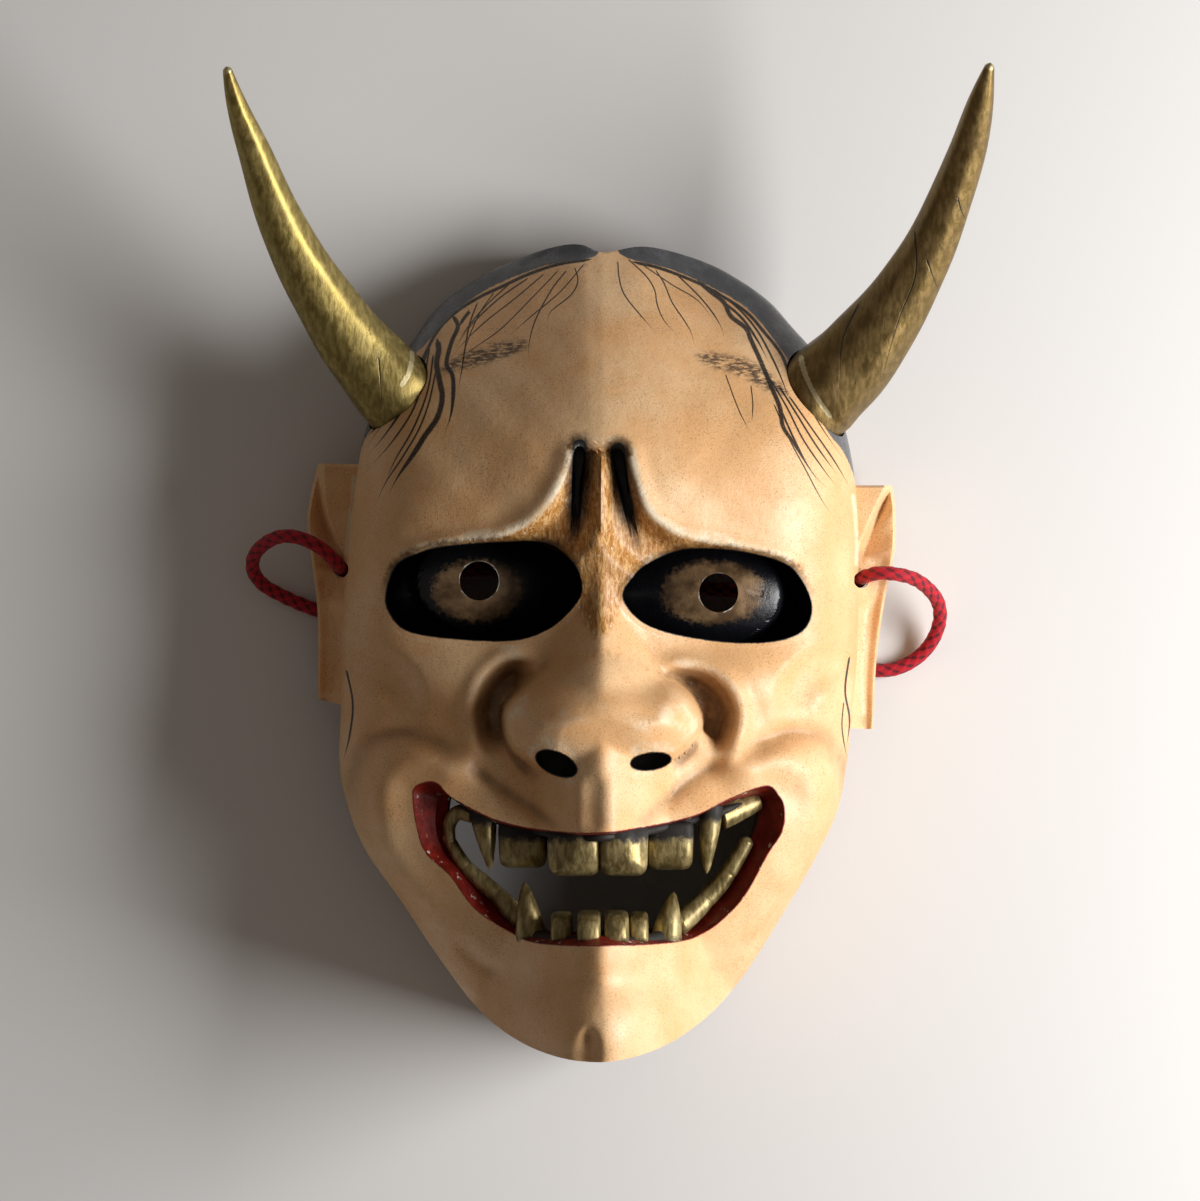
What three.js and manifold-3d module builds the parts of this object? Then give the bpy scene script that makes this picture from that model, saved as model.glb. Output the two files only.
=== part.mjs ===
// Hannya mask lying on its back rim, face up. Units are millimetres.
// Frame: +Z out of the face, +Y from the chin to the horns, +X to the viewer's right.
// The working frame has x = 0 on the middle of the face and z = 0 on the flat back of the rim;
// the whole mask is moved to the bottom centre of its box at the end.

import * as THREE from 'three';
import Module from 'manifold-3d';

// Whole face
const RIM_WIDTH = 8.5;
const WALL_THICKNESS = 13;
const DOME_POWER = 2.7;
const HOLLOW_POWER = 3.0;
const HOLLOW_LEAST = 8;
const EYE_WALL = { y: 15, width: 26, extra: 19 };
const MOUTH_WALL = { y: -60, width: 26, extra: 6 };
const FACE_RINGS = 23;
const SNAP_REACH = 1.7;
const HOLLOW_RINGS = 10;
const CORNERS_OF_DISC = 6;
const EVEN_RING_SHARE = 0.55;
const SKIRT_INSET = 2.5;
const DISC_CENTRE = [0, 2];
const CURVE_STEPS = 6;
const BELOW_RIM = -6;
const ABOVE_FACE = 120;

// Front view of the head, anticlockwise from the notch in the hair
const HEAD_OUTLINE = [
  [0.8, 104.7], [-5, 106.8], [-11.8, 106.3], [-23.1, 102.6], [-33.9, 97.1], [-43.1, 90],
  [-50.1, 80.3], [-57.8, 67.7], [-61.7, 57.8], [-64, 46], [-66.2, 28.9], [-67.5, 13.1],
  [-68, -2.6], [-68.2, -17.1], [-68.6, -28.9], [-66.9, -39.4], [-61.7, -52.5], [-52.5, -65.6],
  [-42, -81.4], [-31.5, -94.5], [-18.4, -102.9], [-2.6, -106.3], [13.1, -103.9], [26.2, -97.1],
  [36.8, -86.9], [47.2, -70.9], [56.4, -55.1], [62.5, -42], [65.1, -28.9], [66.2, -18.4],
  [67.7, -2.6], [68.2, 13.1], [68, 28.9], [67.2, 43.8], [65.3, 55], [62, 67.7],
  [56.4, 78.2], [50.7, 85], [45.1, 91.4], [38.3, 96.6], [29.4, 101.6], [18.1, 105.3], [10, 106.3],
];

// Height of the middle of the face and of its edge, against y
const MIDDLE_PROFILE = [
  [-112, 26], [-106.5, 30], [-103, 43], [-98, 53], [-93, 57], [-86, 57.5], [-80, 59.5], [-74, 62],
  [-62, 66], [-46, 68], [-36, 64], [-20, 60], [-5, 61], [10, 64], [24, 69], [34, 71], [46, 71],
  [62, 67], [80, 56.5], [93, 44], [101, 33.5], [106.8, 22], [112, 18],
];
const EDGE_PROFILE = [
  [-112, 28], [-80, 27], [-40, 25], [0, 24], [45, 26], [60, 26], [80, 24], [95, 22], [112, 20],
];

// Brow
const RIDGE = { x: 0.5, slope: 0.22, rise: [-14, 6], reach: [20, 60], beside: 10.5 };
const FOREHEAD_LOBES = { x: 27, y: 48, half: [22, 20], height: 2.2 };
const BROW_LINES = {
  left: [
    [-53.8, 23], [-44.6, 26.4], [-34.1, 28.3], [-25.5, 29.9], [-16.8, 34.4], [-11.6, 40.7],
    [-8.4, 48.3], [-7.1, 56],
  ],
  right: [
    [6.4, 56], [8.9, 45.9], [12.1, 36.8], [17.3, 32], [22.6, 29.4], [34.1, 27.1], [45.9, 24.2],
    [52.5, 20],
  ],
};
const BROW_STEP = { depth: 6, run: 5, fade: [10, 16] };
const BROW_LIP = { height: 1.3, behind: 1, width: 2.2 };
const FROWN_SLOTS = {
  left: [[-5.2, 53], [-5.8, 44.6], [-6.5, 32], [-7.6, 26]],
  right: [[4.6, 52.2], [6, 43.3], [8.6, 31.5], [10, 27]],
};
const SLOT_WIDTH = 3.6;
const SLOT_FLOOR = 60;

// Cheeks
const CHEEKBONE = [[70, 8], [61.5, 2.6], [53, -1.6], [48, -6.5], [46, -12], [45.5, -18], [44.5, -22]];
const CHEEKBONE_STEP = { depth: 3, run: [-4, 2], fade: [6, 13] };
const CHEEK_LOBES = { x: 40, y: -6, half: [15, 9], height: 2.5 };
const SMILE_ROLL = [
  [30, -36], [38, -30.5], [47, -28.5], [54.5, -31], [58, -38], [58, -47], [54.5, -56.5], [47, -66], [40, -76],
];
const SMILE_ROLL_HEIGHT = 3.2;
const SMILE_ROLL_WIDTH = 6;
const SMILE_GROOVE = [
  [34, -29], [43, -24], [51, -21.6], [59.5, -24], [64.2, -31], [65.5, -38.7], [64.2, -47],
];
const SMILE_GROOVE_DEPTH = 2.4;
const SMILE_GROOVE_WIDTH = 3.2;

// Nose
const NOSE_OUTLINE = [
  [0.3, -1], [-8, -2], [-14.2, -4.7], [-20.5, -9.2], [-24.9, -13.7], [-26, -17.8], [-24.9, -24.2],
  [-20.9, -29.2], [-14, -33.4], [-7, -33.8], [0, -33.2], [7, -32.4], [14, -31.5], [20.7, -28.6],
  [26, -23.1], [27.1, -17.9], [24.6, -11.8], [20.2, -7.9], [14.2, -6.1], [8, -3],
];
const NOSE_FOOT = 60;
const NOSE_HEIGHT = 24.8;
const NOSE_ROUND = 21;
const NOSE_ROUND_POWER = 2.2;
const NOSE_TOP_DROP = 9;
const BRIDGE_CREST = [
  [-16, 81], [-8, 77], [0, 71.5], [10, 67.5], [20, 67], [34, 67.5], [50, 66], [60, 40], [75, 0],
];
const BRIDGE_HALF = [[-16, 21], [-8, 18.5], [0, 14], [10, 8.5], [20, 6], [34, 5]];
const BRIDGE_FOOT = 57;
const BRIDGE_LEAST = 8;
const GROOVES = {
  left: [[-13.7, -3.2], [-23.4, -1.8], [-30.2, -6.6], [-33.3, -13.7], [-33.1, -19.9], [-30.7, -29.7]],
  right: [
    [12.1, -5], [22.3, -3.8], [29.1, -5.5], [34.1, -10.2], [36.2, -16.3], [35.2, -22.1],
    [33.1, -26.5], [28.1, -29.7],
  ],
};
const GROOVE = { depth: 9, run: 5, fade: [9, 13] };
const GROOVE_RIM = { height: 1.6, outside: 1.2, width: 2.2 };
const NOSTRILS = [
  { centre: [-11.3, -29.2], half: [5.6, 2.9], turn: -0.42 },
  { centre: [13.2, -28.7], half: [5.3, 2.2], turn: 0.12 },
];
const NOSTRIL_FLOOR = 60;

// Upper lip and chin
const LIP_FOLDS = {
  left: [[-35.2, -28.6], [-26.2, -35.4], [-10, -46.2]],
  right: [[34.1, -28.9], [24.9, -32.8], [8.9, -45.9]],
};
const LIP_FOLD = { depth: 1.6, width: 2.2 };
const PHILTRUM = {
  x: -1.3, top: [30, 36], bottom: [44, 50], ridgeAt: 4.5, ridge: 0.9, ridgeWidth: 2.4, dip: 1, dipWidth: 3,
};
const CHIN_LOBES = { x: 12, y: -97, half: [13, 9], height: 3.5 };
const CHIN_DIP = { x: 0, y: -86, half: [26, 5], height: -2.5 };
const CHIN_NOTCH = [[-2.9, -96], [-2.9, -100], [-3, -104.5]];
const CHIN_NOTCH_DEPTH = 2.6;
const CHIN_NOTCH_WIDTH = [1.1, 2.2];
const CHIN_CREASES = {
  left: [[-39, -74.6], [-31, -82], [-23, -87.2]],
  right: [[41, -74], [33, -82], [25, -88]],
};
const CHIN_CREASE = { depth: 1.4, width: 2.4 };

// Eyes: opening in the lids, ball behind it, and the hole of the pupil
const EYES = {
  left: {
    opening: [
      [-55.9, 14.7], [-54.9, 9.7], [-50.4, 5.2], [-39.4, 3.2], [-23.1, 2.6], [-13.7, 5.5], [-7.6, 10.6],
      [-4.7, 15.8], [-6.8, 22.5], [-13.7, 27.8], [-25.5, 28.1], [-40.2, 27], [-47.5, 25.2], [-53.3, 22],
    ],
    pupil: [-31.5, 18.1],
    outward: -1,
  },
  right: {
    opening: [
      [6, 13.7], [10.8, 7.6], [19.7, 4.2], [34.4, 2.1], [46.7, 2.6], [53.6, 5.8], [55.2, 12.4],
      [51.2, 20.2], [45.4, 23.6], [34.4, 26], [21.8, 26.2], [12.9, 22.8], [8.4, 18.8],
    ],
    pupil: [31, 15],
    outward: 1,
  },
};
const PUPIL_RADIUS = 5.1;
const BALL_TOP = 50;
const BALL_SPAN = [70, 30];
const BALL_EDGE = [16, 18.5];
const BALL_EDGE_DROP = 7;
const EYE_RINGS = 4;

// Mouth: edge of the red lips on the face, and the opening behind them
const LIP_EDGE = [
  [-48.6, -37], [-47.5, -46.5], [-45.1, -53], [-39.1, -58.5], [-32.6, -67.2], [-23.6, -73.2],
  [-16.2, -75.9], [1.1, -76.1], [20.1, -75.7], [27.8, -73.2], [34.6, -67.7], [39.1, -61.7],
  [43.3, -53.8], [47.5, -47], [48, -41], [46.5, -37.8], [43.3, -35.4], [34.6, -38.3], [24.4, -43.1],
  [11, -45.9], [-2.4, -47.2], [-15, -46.7], [-25.7, -44.6], [-32.6, -41.7], [-39.1, -38.1],
  [-42.5, -34.6], [-45.9, -34.6],
];
const LIP_OPENING = [
  [-38.9, -38.9], [-39.6, -46], [-38.4, -51.7], [-34.6, -57.2], [-29, -63], [-22.5, -69.2],
  [-14.4, -72.9], [0.5, -73.5], [13.1, -73], [22.5, -69.8], [29, -64.4], [33, -59.6],
  [37, -53.2], [40.2, -46.5], [41.2, -41.5], [41, -39], [37.4, -38.9], [30.6, -41.3], [22.4, -44.5],
  [10.6, -46.9], [-2.4, -48.2], [-15, -47.7], [-25.2, -45.8], [-31.2, -43.4], [-34.6, -41.6],
  [-36.6, -39.8], [-37.8, -39.0],
];
const LIP_DEPTH = 7;
const LIP_EDGE_SINK = 0.2;

// Teeth on the ridge behind the lips
const TEETH_BACK = 48;
const TEETH_BELOW_LIP = 5;
const UPPER_ROOT = -44.5;
const LOWER_ROOT = -76;
const UPPER_TEETH = [
  { from: -25.7, to: -14.4, edge: -56.7 },
  { from: -12.8, to: -0.2, edge: -58.5 },
  { from: 0.3, to: 11.8, edge: -58.5 },
  { from: 12.9, to: 23.6, edge: -57.2 },
];
const LOWER_TEETH = [
  { from: -12.3, to: -7.6, edge: -68 },
  { from: -5.5, to: 0, edge: -67.7 },
  { from: 1.3, to: 7.1, edge: -67.7 },
  { from: 8.1, to: 12.1, edge: -68 },
];
const FANGS = [
  { root: [-30.4, -41.5], tip: [-28.4, -56.7], radius: 3.1 },
  { root: [28.6, -40.5], tip: [27.8, -58], radius: 3.1 },
  { root: [-17.8, -75.2], tip: [-19.7, -60.4], radius: 4.1 },
  { root: [17.2, -75.2], tip: [19.2, -63], radius: 4.1 },
];
const FANG_TIP_RADIUS = 0.6;
const SIDE_TEETH = [
  { points: [[-41, -48.5], [-35, -56.5], [-27, -63.8], [-21, -70.5]], radius: 1.9 },
  { points: [[20.5, -72], [27.5, -65.2], [33.6, -58], [38.6, -50]], radius: 2.2 },
  { points: [[-33, -41.5], [-37, -39.8], [-41.5, -37.5]], radius: 3.2 },
  { points: [[31, -43.5], [35.5, -41.8], [41, -39.2]], radius: 3.6 },
];
const TOOTH_BULGE = 1.2;
const TOOTH_LEAN = 1.5;
const TOOTH_TAPER = 0.06;
const FANG_RISE = 1.5;
const FANG_BOW = 1.2;
const SIDE_ROW_SINK = 1;

// Ears
const EARS = {
  left: {
    edge: [[-74.5, 49.1], [-77.2, 35.2], [-76.1, 23.6], [-74.6, 10], [-74.5, -2.6], [-74.5, -13]],
    root: [[-60, 48.8], [-60, 36], [-60, 24], [-60, 10], [-60, -4], [-63, -16]],
    holeAt: 0.45,
  },
  right: {
    edge: [[77.2, 43.3], [78, 36], [77.7, 25.2], [75.1, 12.3], [73, -3.7], [72.2, -21]],
    root: [[60, 43.3], [60, 34], [60, 22], [60, 8], [60, -6], [62, -20.5]],
    holeAt: 0.39,
  },
};
const EAR_BACK = 9;
const EAR_EDGE = 15;
const EAR_LEAF = { height: 8, top: 0.9, shift: 0.56, run: [-0.02, 0.16] };
const EAR_SHELL = 4;
const EAR_BUMP = { height: 5, at: [0.5, 0.13], half: [0.3, 0.07] };
const EAR_LOWER = { height: 5, run: [0.35, 0.75] };
const EAR_CORNER_DROP = 3;
const EAR_ACROSS = [0, 0.25, 0.45, 0.6, 0.76, 0.9, 1];
const EAR_ALONG = [0, 0.14, 0.28, 0.38, 0.46, 0.53, 0.62, 0.8, 1];

// Horns: centre line with the radius at each point
const HORNS = {
  left: [
    [-50.5, 63.5, 32, 10.6], [-54.5, 68.6, 33, 10.9], [-64.6, 80.5, 37, 9.5], [-74.9, 95.9, 43.5, 7.7],
    [-83.1, 111.6, 51, 6.2], [-89.8, 129.6, 61, 4.4], [-94.2, 141.8, 69, 2.7], [-96.6, 151, 76, 1.1],
  ],
  right: [
    [54.5, 63.5, 32, 11.5], [59.1, 68.8, 33, 11.9], [69.2, 79.3, 37, 10.7], [80.2, 94.6, 43.5, 8.2],
    [88.3, 110.1, 51, 6.5], [95.5, 129.6, 61, 5], [98.6, 141.8, 69, 3.5], [101, 152, 76, 1.1],
  ],
};
const HORN_SIDES = 12;
const HORN_STEPS = 2;
const HORN_GAP = 0.3;

// Cord through both ears, tied behind the mask at each side
const CORD_DIAMETER = 3.8;
const CORD_SIDES = 8;
const CORD_STEPS = 42;
const BAR_SIDES = 6;
const CORD_HOLE_GAP = 1.3;
const CORD_HOLES = [[-68.2, 21.2], [68.8, 18.4]];
const CORD_ROUTE = [
  [-50.5, 16.5, 2], [-54, 12, 2], [-62, 9, 2], [-74, 10.2, 2], [-79.5, 12.1, 2.2], [-84.5, 14.4, 3.2],
  [-89.2, 17.2, 5.5], [-91.7, 20.8, 9], [-91.3, 24.8, 13.5], [-88, 28.2, 19], [-83.5, 29.9, 23.5],
  [-78.5, 29.3, 26], [-73.5, 26.8, 26.3], [-70.2, 23.8, 23], [-68.5, 21.8, 16.5], [-68.1, 21.1, 10],
  [-65.7, 20.8, 4.4], [-60, 20.7, 2.2], [-50.5, 20.9, 2], [-31, 21.2, 2], [0, 19.2, 2], [31, 16, 2],
  [50.5, 15.4, 2], [60.6, 16.8, 2.2], [66.3, 17.6, 4.4], [68.6, 18.2, 10], [68.9, 18.6, 16],
  [70.2, 19.4, 22.5], [73.5, 20.2, 26], [78, 19.9, 26], [82.7, 18.7, 22.5], [86.6, 16.1, 17.5],
  [89.3, 12.6, 12.5], [90, 8.4, 8.5], [88.9, 4, 5.3], [86.6, 0.2, 3.4], [83.3, -2.8, 2.3],
  [78.8, -5, 2], [73.5, -5.5, 2], [62, -2.5, 2], [54, 4.5, 2], [50.5, 11, 2],
];
const KNOTS = [[-50.5, 18.7, 4], [50.5, 13.2, 4]];
const KNOT_HALF = [4.6, 5.2, 3.9];

// Arch under the rim at the ears, where the cord passes
const ARCH = { bottom: -26, top: 52, height: 9, slope: 12 };

const PAINT_COLOUR = '#e3b98a';
const GOLD_COLOUR = '#8f7a45';
const CORD_COLOUR = '#a8122a';

const wasm = await Module();
wasm.setup();

// Shaping functions

// 0 below the start, 1 above the end, smooth between.
function ease(start, end, value) {
  const t = Math.min(Math.max((value - start) / (end - start), 0), 1);
  return t * t * (3 - 2 * t);
}

// Bell curve of height 1 and the given half width.
function bell(distance, width) {
  return Math.exp(-((distance / width) ** 2));
}

// Larger of two heights, with a rounded join.
function softMax(a, b, round) {
  return 0.5 * (a + b + Math.sqrt((a - b) ** 2 + round * round));
}

// Height of a profile given as pairs, smooth through each pair.
function profileAt(pairs, at) {
  const last = pairs.length - 1;
  if (at <= pairs[0][0]) return pairs[0][1];
  if (at >= pairs[last][0]) return pairs[last][1];
  const i = pairs.findIndex((pair) => pair[0] > at) - 1;
  const slope = (k) => {
    const a = pairs[Math.max(k - 1, 0)];
    const b = pairs[Math.min(k + 1, last)];
    return (b[1] - a[1]) / (b[0] - a[0]);
  };
  const step = pairs[i + 1][0] - pairs[i][0];
  const t = (at - pairs[i][0]) / step;
  const t2 = t * t;
  const t3 = t2 * t;
  return (2 * t3 - 3 * t2 + 1) * pairs[i][1] + (t3 - 2 * t2 + t) * step * slope(i)
    + (3 * t2 - 2 * t3) * pairs[i + 1][1] + (t3 - t2) * step * slope(i + 1);
}

// Smooth curve through points, as a list of points.
function curveThrough(points, closed, steps = CURVE_STEPS) {
  const n = points.length;
  const pick = (k) => {
    if (closed) return points[((k % n) + n) % n];
    if (k < 0) return points[0].map((v, j) => 2 * v - points[1][j]);
    if (k >= n) return points[n - 1].map((v, j) => 2 * v - points[n - 2][j]);
    return points[k];
  };
  const curve = [];
  const spans = closed ? n : n - 1;
  for (let i = 0; i < spans; i += 1) {
    const [a, b, c, d] = [pick(i - 1), pick(i), pick(i + 1), pick(i + 2)];
    for (let s = 0; s < steps; s += 1) {
      const t = s / steps;
      curve.push(b.map((v, j) => 0.5 * (2 * v + (c[j] - a[j]) * t
        + (2 * a[j] - 5 * v + 4 * c[j] - d[j]) * t * t
        + (3 * v - a[j] - 3 * c[j] + d[j]) * t ** 3)));
    }
  }
  if (!closed) curve.push([...points[n - 1]]);
  return curve;
}

// Signed distance to an open curve (positive on its left) and the share of its length.
function alongCurve(x, y, curve) {
  let best = Infinity;
  let side = 1;
  let share = 0;
  let total = 0;
  let nearest = curve[0];
  for (let i = 0; i + 1 < curve.length; i += 1) {
    const [ax, ay] = curve[i];
    const dx = curve[i + 1][0] - ax;
    const dy = curve[i + 1][1] - ay;
    const length = Math.hypot(dx, dy);
    const t = Math.min(Math.max(((x - ax) * dx + (y - ay) * dy) / length ** 2, 0), 1);
    const distance = Math.hypot(x - ax - t * dx, y - ay - t * dy);
    if (distance < best) {
      best = distance;
      side = dx * (y - ay) - dy * (x - ax) >= 0 ? 1 : -1;
      share = total + t * length;
      nearest = [ax + t * dx, ay + t * dy];
    }
    total += length;
  }
  return { distance: best * side, share: share / total, nearest };
}

// Distance inside a closed curve, negative outside it.
function insideCurve(x, y, curve) {
  let within = false;
  for (let i = 0; i < curve.length; i += 1) {
    const [ax, ay] = curve[i];
    const [bx, by] = curve[(i + 1) % curve.length];
    if ((ay > y) !== (by > y) && x < ((bx - ax) * (y - ay)) / (by - ay) + ax) within = !within;
  }
  const { distance } = alongCurve(x, y, [...curve, curve[0]]);
  return within ? Math.abs(distance) : -Math.abs(distance);
}

const headCurve = curveThrough(HEAD_OUTLINE, true);
const headRays = headCurve.map(([x, y]) => ({
  angle: Math.atan2(y - DISC_CENTRE[1], x - DISC_CENTRE[0]),
  reach: Math.hypot(x - DISC_CENTRE[0], y - DISC_CENTRE[1]),
})).sort((a, b) => a.angle - b.angle);

// Distance from the centre of the head to its outline in the direction of a point.
function headReach(x, y) {
  const angle = Math.atan2(y - DISC_CENTRE[1], x - DISC_CENTRE[0]);
  const found = headRays.findIndex((ray) => ray.angle > angle);
  const after = found < 0 ? 0 : found;
  const next = headRays[after];
  const previous = headRays[(after + headRays.length - 1) % headRays.length];
  const turn = 2 * Math.PI;
  const span = (next.angle - previous.angle + turn) % turn;
  const t = ((angle - previous.angle + turn) % turn) / span;
  return previous.reach + (next.reach - previous.reach) * t;
}

const browCurves = Object.values(BROW_LINES).map((line) => curveThrough(line, false));
const grooveCurves = [
  { curve: curveThrough(GROOVES.left, false), turn: 1 },
  { curve: curveThrough(GROOVES.right, false), turn: -1 },
];
const lipFoldCurves = Object.values(LIP_FOLDS).map((line) => curveThrough(line, false));
const noseCurve = curveThrough(NOSE_OUTLINE, true);
const notchCurve = curveThrough(CHIN_NOTCH, false);
const carvedEdges = [...browCurves, ...grooveCurves.map(({ curve }) => curve), [...noseCurve, noseCurve[0]]];
const cheekCurves = [-1, 1].map((side) => {
  const onSide = (line) => curveThrough(line.map(([x, y]) => [x * side, y]), false);
  return { side, bone: onSide(CHEEKBONE), roll: onSide(SMILE_ROLL), groove: onSide(SMILE_GROOVE) };
});
const creaseCurves = Object.values(CHIN_CREASES).map((line) => curveThrough(line, false));

// Height of a pair of rounded lobes, one on each side of the middle.
function lobes(across, y, { x, y: level, half, height }) {
  return height * bell(Math.hypot((across - x) / half[0], (y - level) / half[1]), 1);
}

// 0 at both ends of a curve, 1 between the two shares.
function fadeEnds(share, first, last) {
  return ease(0, first, share) * (1 - ease(last, 1, share));
}

// Rounded fold along a curve, positive for a ridge and negative for a groove.
function foldAlong(x, y, curve, height, width, first, last) {
  const { distance, share } = alongCurve(x, y, curve);
  return height * bell(distance, width) * fadeEnds(share, first, last);
}

// Height that the cheeks add: the step under the cheekbone, the groove below it and the smile roll.
function cheekHeight(x, y) {
  const { side, bone, roll, groove } = cheekCurves[x > 0 ? 1 : 0];
  const { distance, share } = alongCurve(x, y, bone);
  const above = -distance * side;
  const near = 1 - ease(...CHEEKBONE_STEP.fade, Math.abs(above));
  const step = CHEEKBONE_STEP.depth * (1 - ease(...CHEEKBONE_STEP.run, above)) * near;
  return foldAlong(x, y, roll, SMILE_ROLL_HEIGHT, SMILE_ROLL_WIDTH, 0.15, 0.7)
    - foldAlong(x, y, groove, SMILE_GROOVE_DEPTH, SMILE_GROOVE_WIDTH, 0.2, 0.75)
    - step * fadeEnds(share, 0.3, 0.65);
}

// Height that the brow lips and the crescent grooves add.
function browAndGrooveHeight(x, y) {
  let z = 0;
  for (const curve of browCurves) {
    const { distance, share } = alongCurve(x, y, curve);
    const ends = fadeEnds(share, 0.12, 0.9);
    const below = ease(0, BROW_STEP.run, -distance) * (1 - ease(...BROW_STEP.fade, -distance));
    z -= BROW_STEP.depth * below * ends;
    z += BROW_LIP.height * bell(distance - BROW_LIP.behind, BROW_LIP.width) * ends;
  }
  for (const { curve, turn } of grooveCurves) {
    const { distance, share } = alongCurve(x, y, curve);
    const inward = distance * turn;
    const ends = fadeEnds(share, 0.22, 0.8);
    z -= GROOVE.depth * ease(0, GROOVE.run, inward) * (1 - ease(...GROOVE.fade, inward)) * ends;
    z += GROOVE_RIM.height * bell(inward + GROOVE_RIM.outside, GROOVE_RIM.width) * ends;
  }
  return z;
}

// Face height with the bridge and the ball of the nose joined softly to it.
function withNose(x, y, face) {
  const crest = profileAt(BRIDGE_CREST, y);
  const slope = (Math.abs(x - RIDGE.x) / profileAt(BRIDGE_HALF, y)) ** 1.5;
  const bridged = softMax(face, crest - Math.max(crest - BRIDGE_FOOT, BRIDGE_LEAST) * slope, 2);
  const into = insideCurve(x, y, noseCurve);
  if (into <= 0) return bridged;
  const rise = Math.sqrt(1 - (1 - Math.min(into / NOSE_ROUND, 1)) ** NOSE_ROUND_POWER);
  const ball = NOSE_FOOT + NOSE_HEIGHT * rise - NOSE_TOP_DROP * ease(-15, -1, y);
  return softMax(bridged, ball, 1.2 + 7 * ease(-15, -3, y));
}

// Height that the upper lip and the chin add.
function lipAndChinHeight(x, y) {
  const near = ease(...PHILTRUM.top, -y) * (1 - ease(...PHILTRUM.bottom, -y));
  const across = x - PHILTRUM.x;
  let z = near * (PHILTRUM.ridge * bell(Math.abs(across) - PHILTRUM.ridgeAt, PHILTRUM.ridgeWidth)
    - PHILTRUM.dip * bell(across, PHILTRUM.dipWidth));
  for (const curve of lipFoldCurves) {
    const { distance, share } = alongCurve(x, y, curve);
    z -= LIP_FOLD.depth * bell(distance, LIP_FOLD.width) * ease(0, 0.2, share);
  }
  z += lobes(Math.abs(x), y, CHIN_LOBES) + lobes(x, y, CHIN_DIP);
  for (const curve of creaseCurves) {
    z -= foldAlong(x, y, curve, CHIN_CREASE.depth, CHIN_CREASE.width, 0.25, 0.7);
  }
  const notch = alongCurve(x, y, notchCurve);
  const width = CHIN_NOTCH_WIDTH[0] + CHIN_NOTCH_WIDTH[1] * notch.share;
  return z - CHIN_NOTCH_DEPTH * bell(notch.distance, width) * ease(0, 0.3, notch.share);
}

// Height of the carved face at a point, without the eyes, slots, nostrils and mouth.
function faceHeight(x, y) {
  const from = Math.hypot(x - DISC_CENTRE[0], y - DISC_CENTRE[1]);
  const share = Math.min(from / headReach(x, y), 1);
  const edge = profileAt(EDGE_PROFILE, y);
  const middle = profileAt(MIDDLE_PROFILE, y);
  const across = Math.abs(x);
  const dome = edge + (middle - edge) * Math.sqrt(Math.max(1 - share ** DOME_POWER, 0));
  const beside = ease(...RIDGE.reach, across);
  const fall = (Math.hypot(x - RIDGE.x, 1) - 1) * (1 - beside) + RIDGE.beside * beside;
  const face = dome - ease(...RIDGE.rise, y) * RIDGE.slope * fall
    + lobes(across, y, FOREHEAD_LOBES) + lobes(across, y, CHEEK_LOBES)
    + cheekHeight(x, y) + browAndGrooveHeight(x, y);
  return withNose(x, y, face) + lipAndChinHeight(x, y);
}

// Height of the smooth hollow behind the face.
function hollowHeight(x, y) {
  const from = Math.hypot(x - DISC_CENTRE[0], y - DISC_CENTRE[1]);
  const share = Math.min(from / (headReach(x, y) - RIM_WIDTH), 1);
  const thicker = (wall) => wall.extra * bell(y - wall.y, wall.width);
  const extra = thicker(EYE_WALL) + thicker(MOUTH_WALL);
  const depth = profileAt(MIDDLE_PROFILE, y) - WALL_THICKNESS - extra;
  return Math.max(depth, HOLLOW_LEAST) * Math.sqrt(Math.max(1 - share ** HOLLOW_POWER, 0));
}

// Height of the eyeball behind the opening of an eye.
function ballHeight(eye, x, y) {
  const dx = (x - eye.pupil[0]) * eye.outward;
  const dy = y - eye.pupil[1];
  const gap = ease(BALL_EDGE[0], BALL_EDGE[1], Math.hypot(dx, dy * 1.25)) * ease(2, 10, dx);
  return BALL_TOP - (dx * dx) / BALL_SPAN[0] - (dy * dy) / BALL_SPAN[1] - BALL_EDGE_DROP * gap;
}

// Solids

// Solid from a list of points and a list of triangles, turned so that its faces look outward.
function solidOf(points, triangles) {
  const volume = triangles.reduce((sum, [a, b, c]) => {
    const [p, q, r] = [points[a], points[b], points[c]];
    return sum + p[0] * (q[1] * r[2] - q[2] * r[1]) - p[1] * (q[0] * r[2] - q[2] * r[0])
      + p[2] * (q[0] * r[1] - q[1] * r[0]);
  }, 0);
  const outward = volume > 0 ? triangles : triangles.map(([a, b, c]) => [a, c, b]);
  const mesh = new wasm.Mesh({
    numProp: 3,
    vertProperties: new Float32Array(points.flat()),
    triVerts: new Uint32Array(outward.flat()),
  });
  return new wasm.Manifold(mesh);
}

// Solid from a closed three.js geometry.
function solidOfGeometry(geometry) {
  const position = geometry.getAttribute('position');
  const index = geometry.getIndex();
  const count = index ? index.count : position.count;
  const points = [];
  const found = new Map();
  const corners = [];
  for (let i = 0; i < count; i += 1) {
    const at = index ? index.getX(i) : i;
    const point = [position.getX(at), position.getY(at), position.getZ(at)];
    const key = point.map((v) => Math.round(v * 1e4)).join(',');
    if (!found.has(key)) {
      found.set(key, points.length);
      points.push(point);
    }
    corners.push(found.get(key));
  }
  const triangles = [];
  for (let i = 0; i < corners.length; i += 3) {
    const [a, b, c] = corners.slice(i, i + 3);
    if (a !== b && b !== c && a !== c) triangles.push([a, b, c]);
  }
  return solidOf(points, triangles);
}

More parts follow.
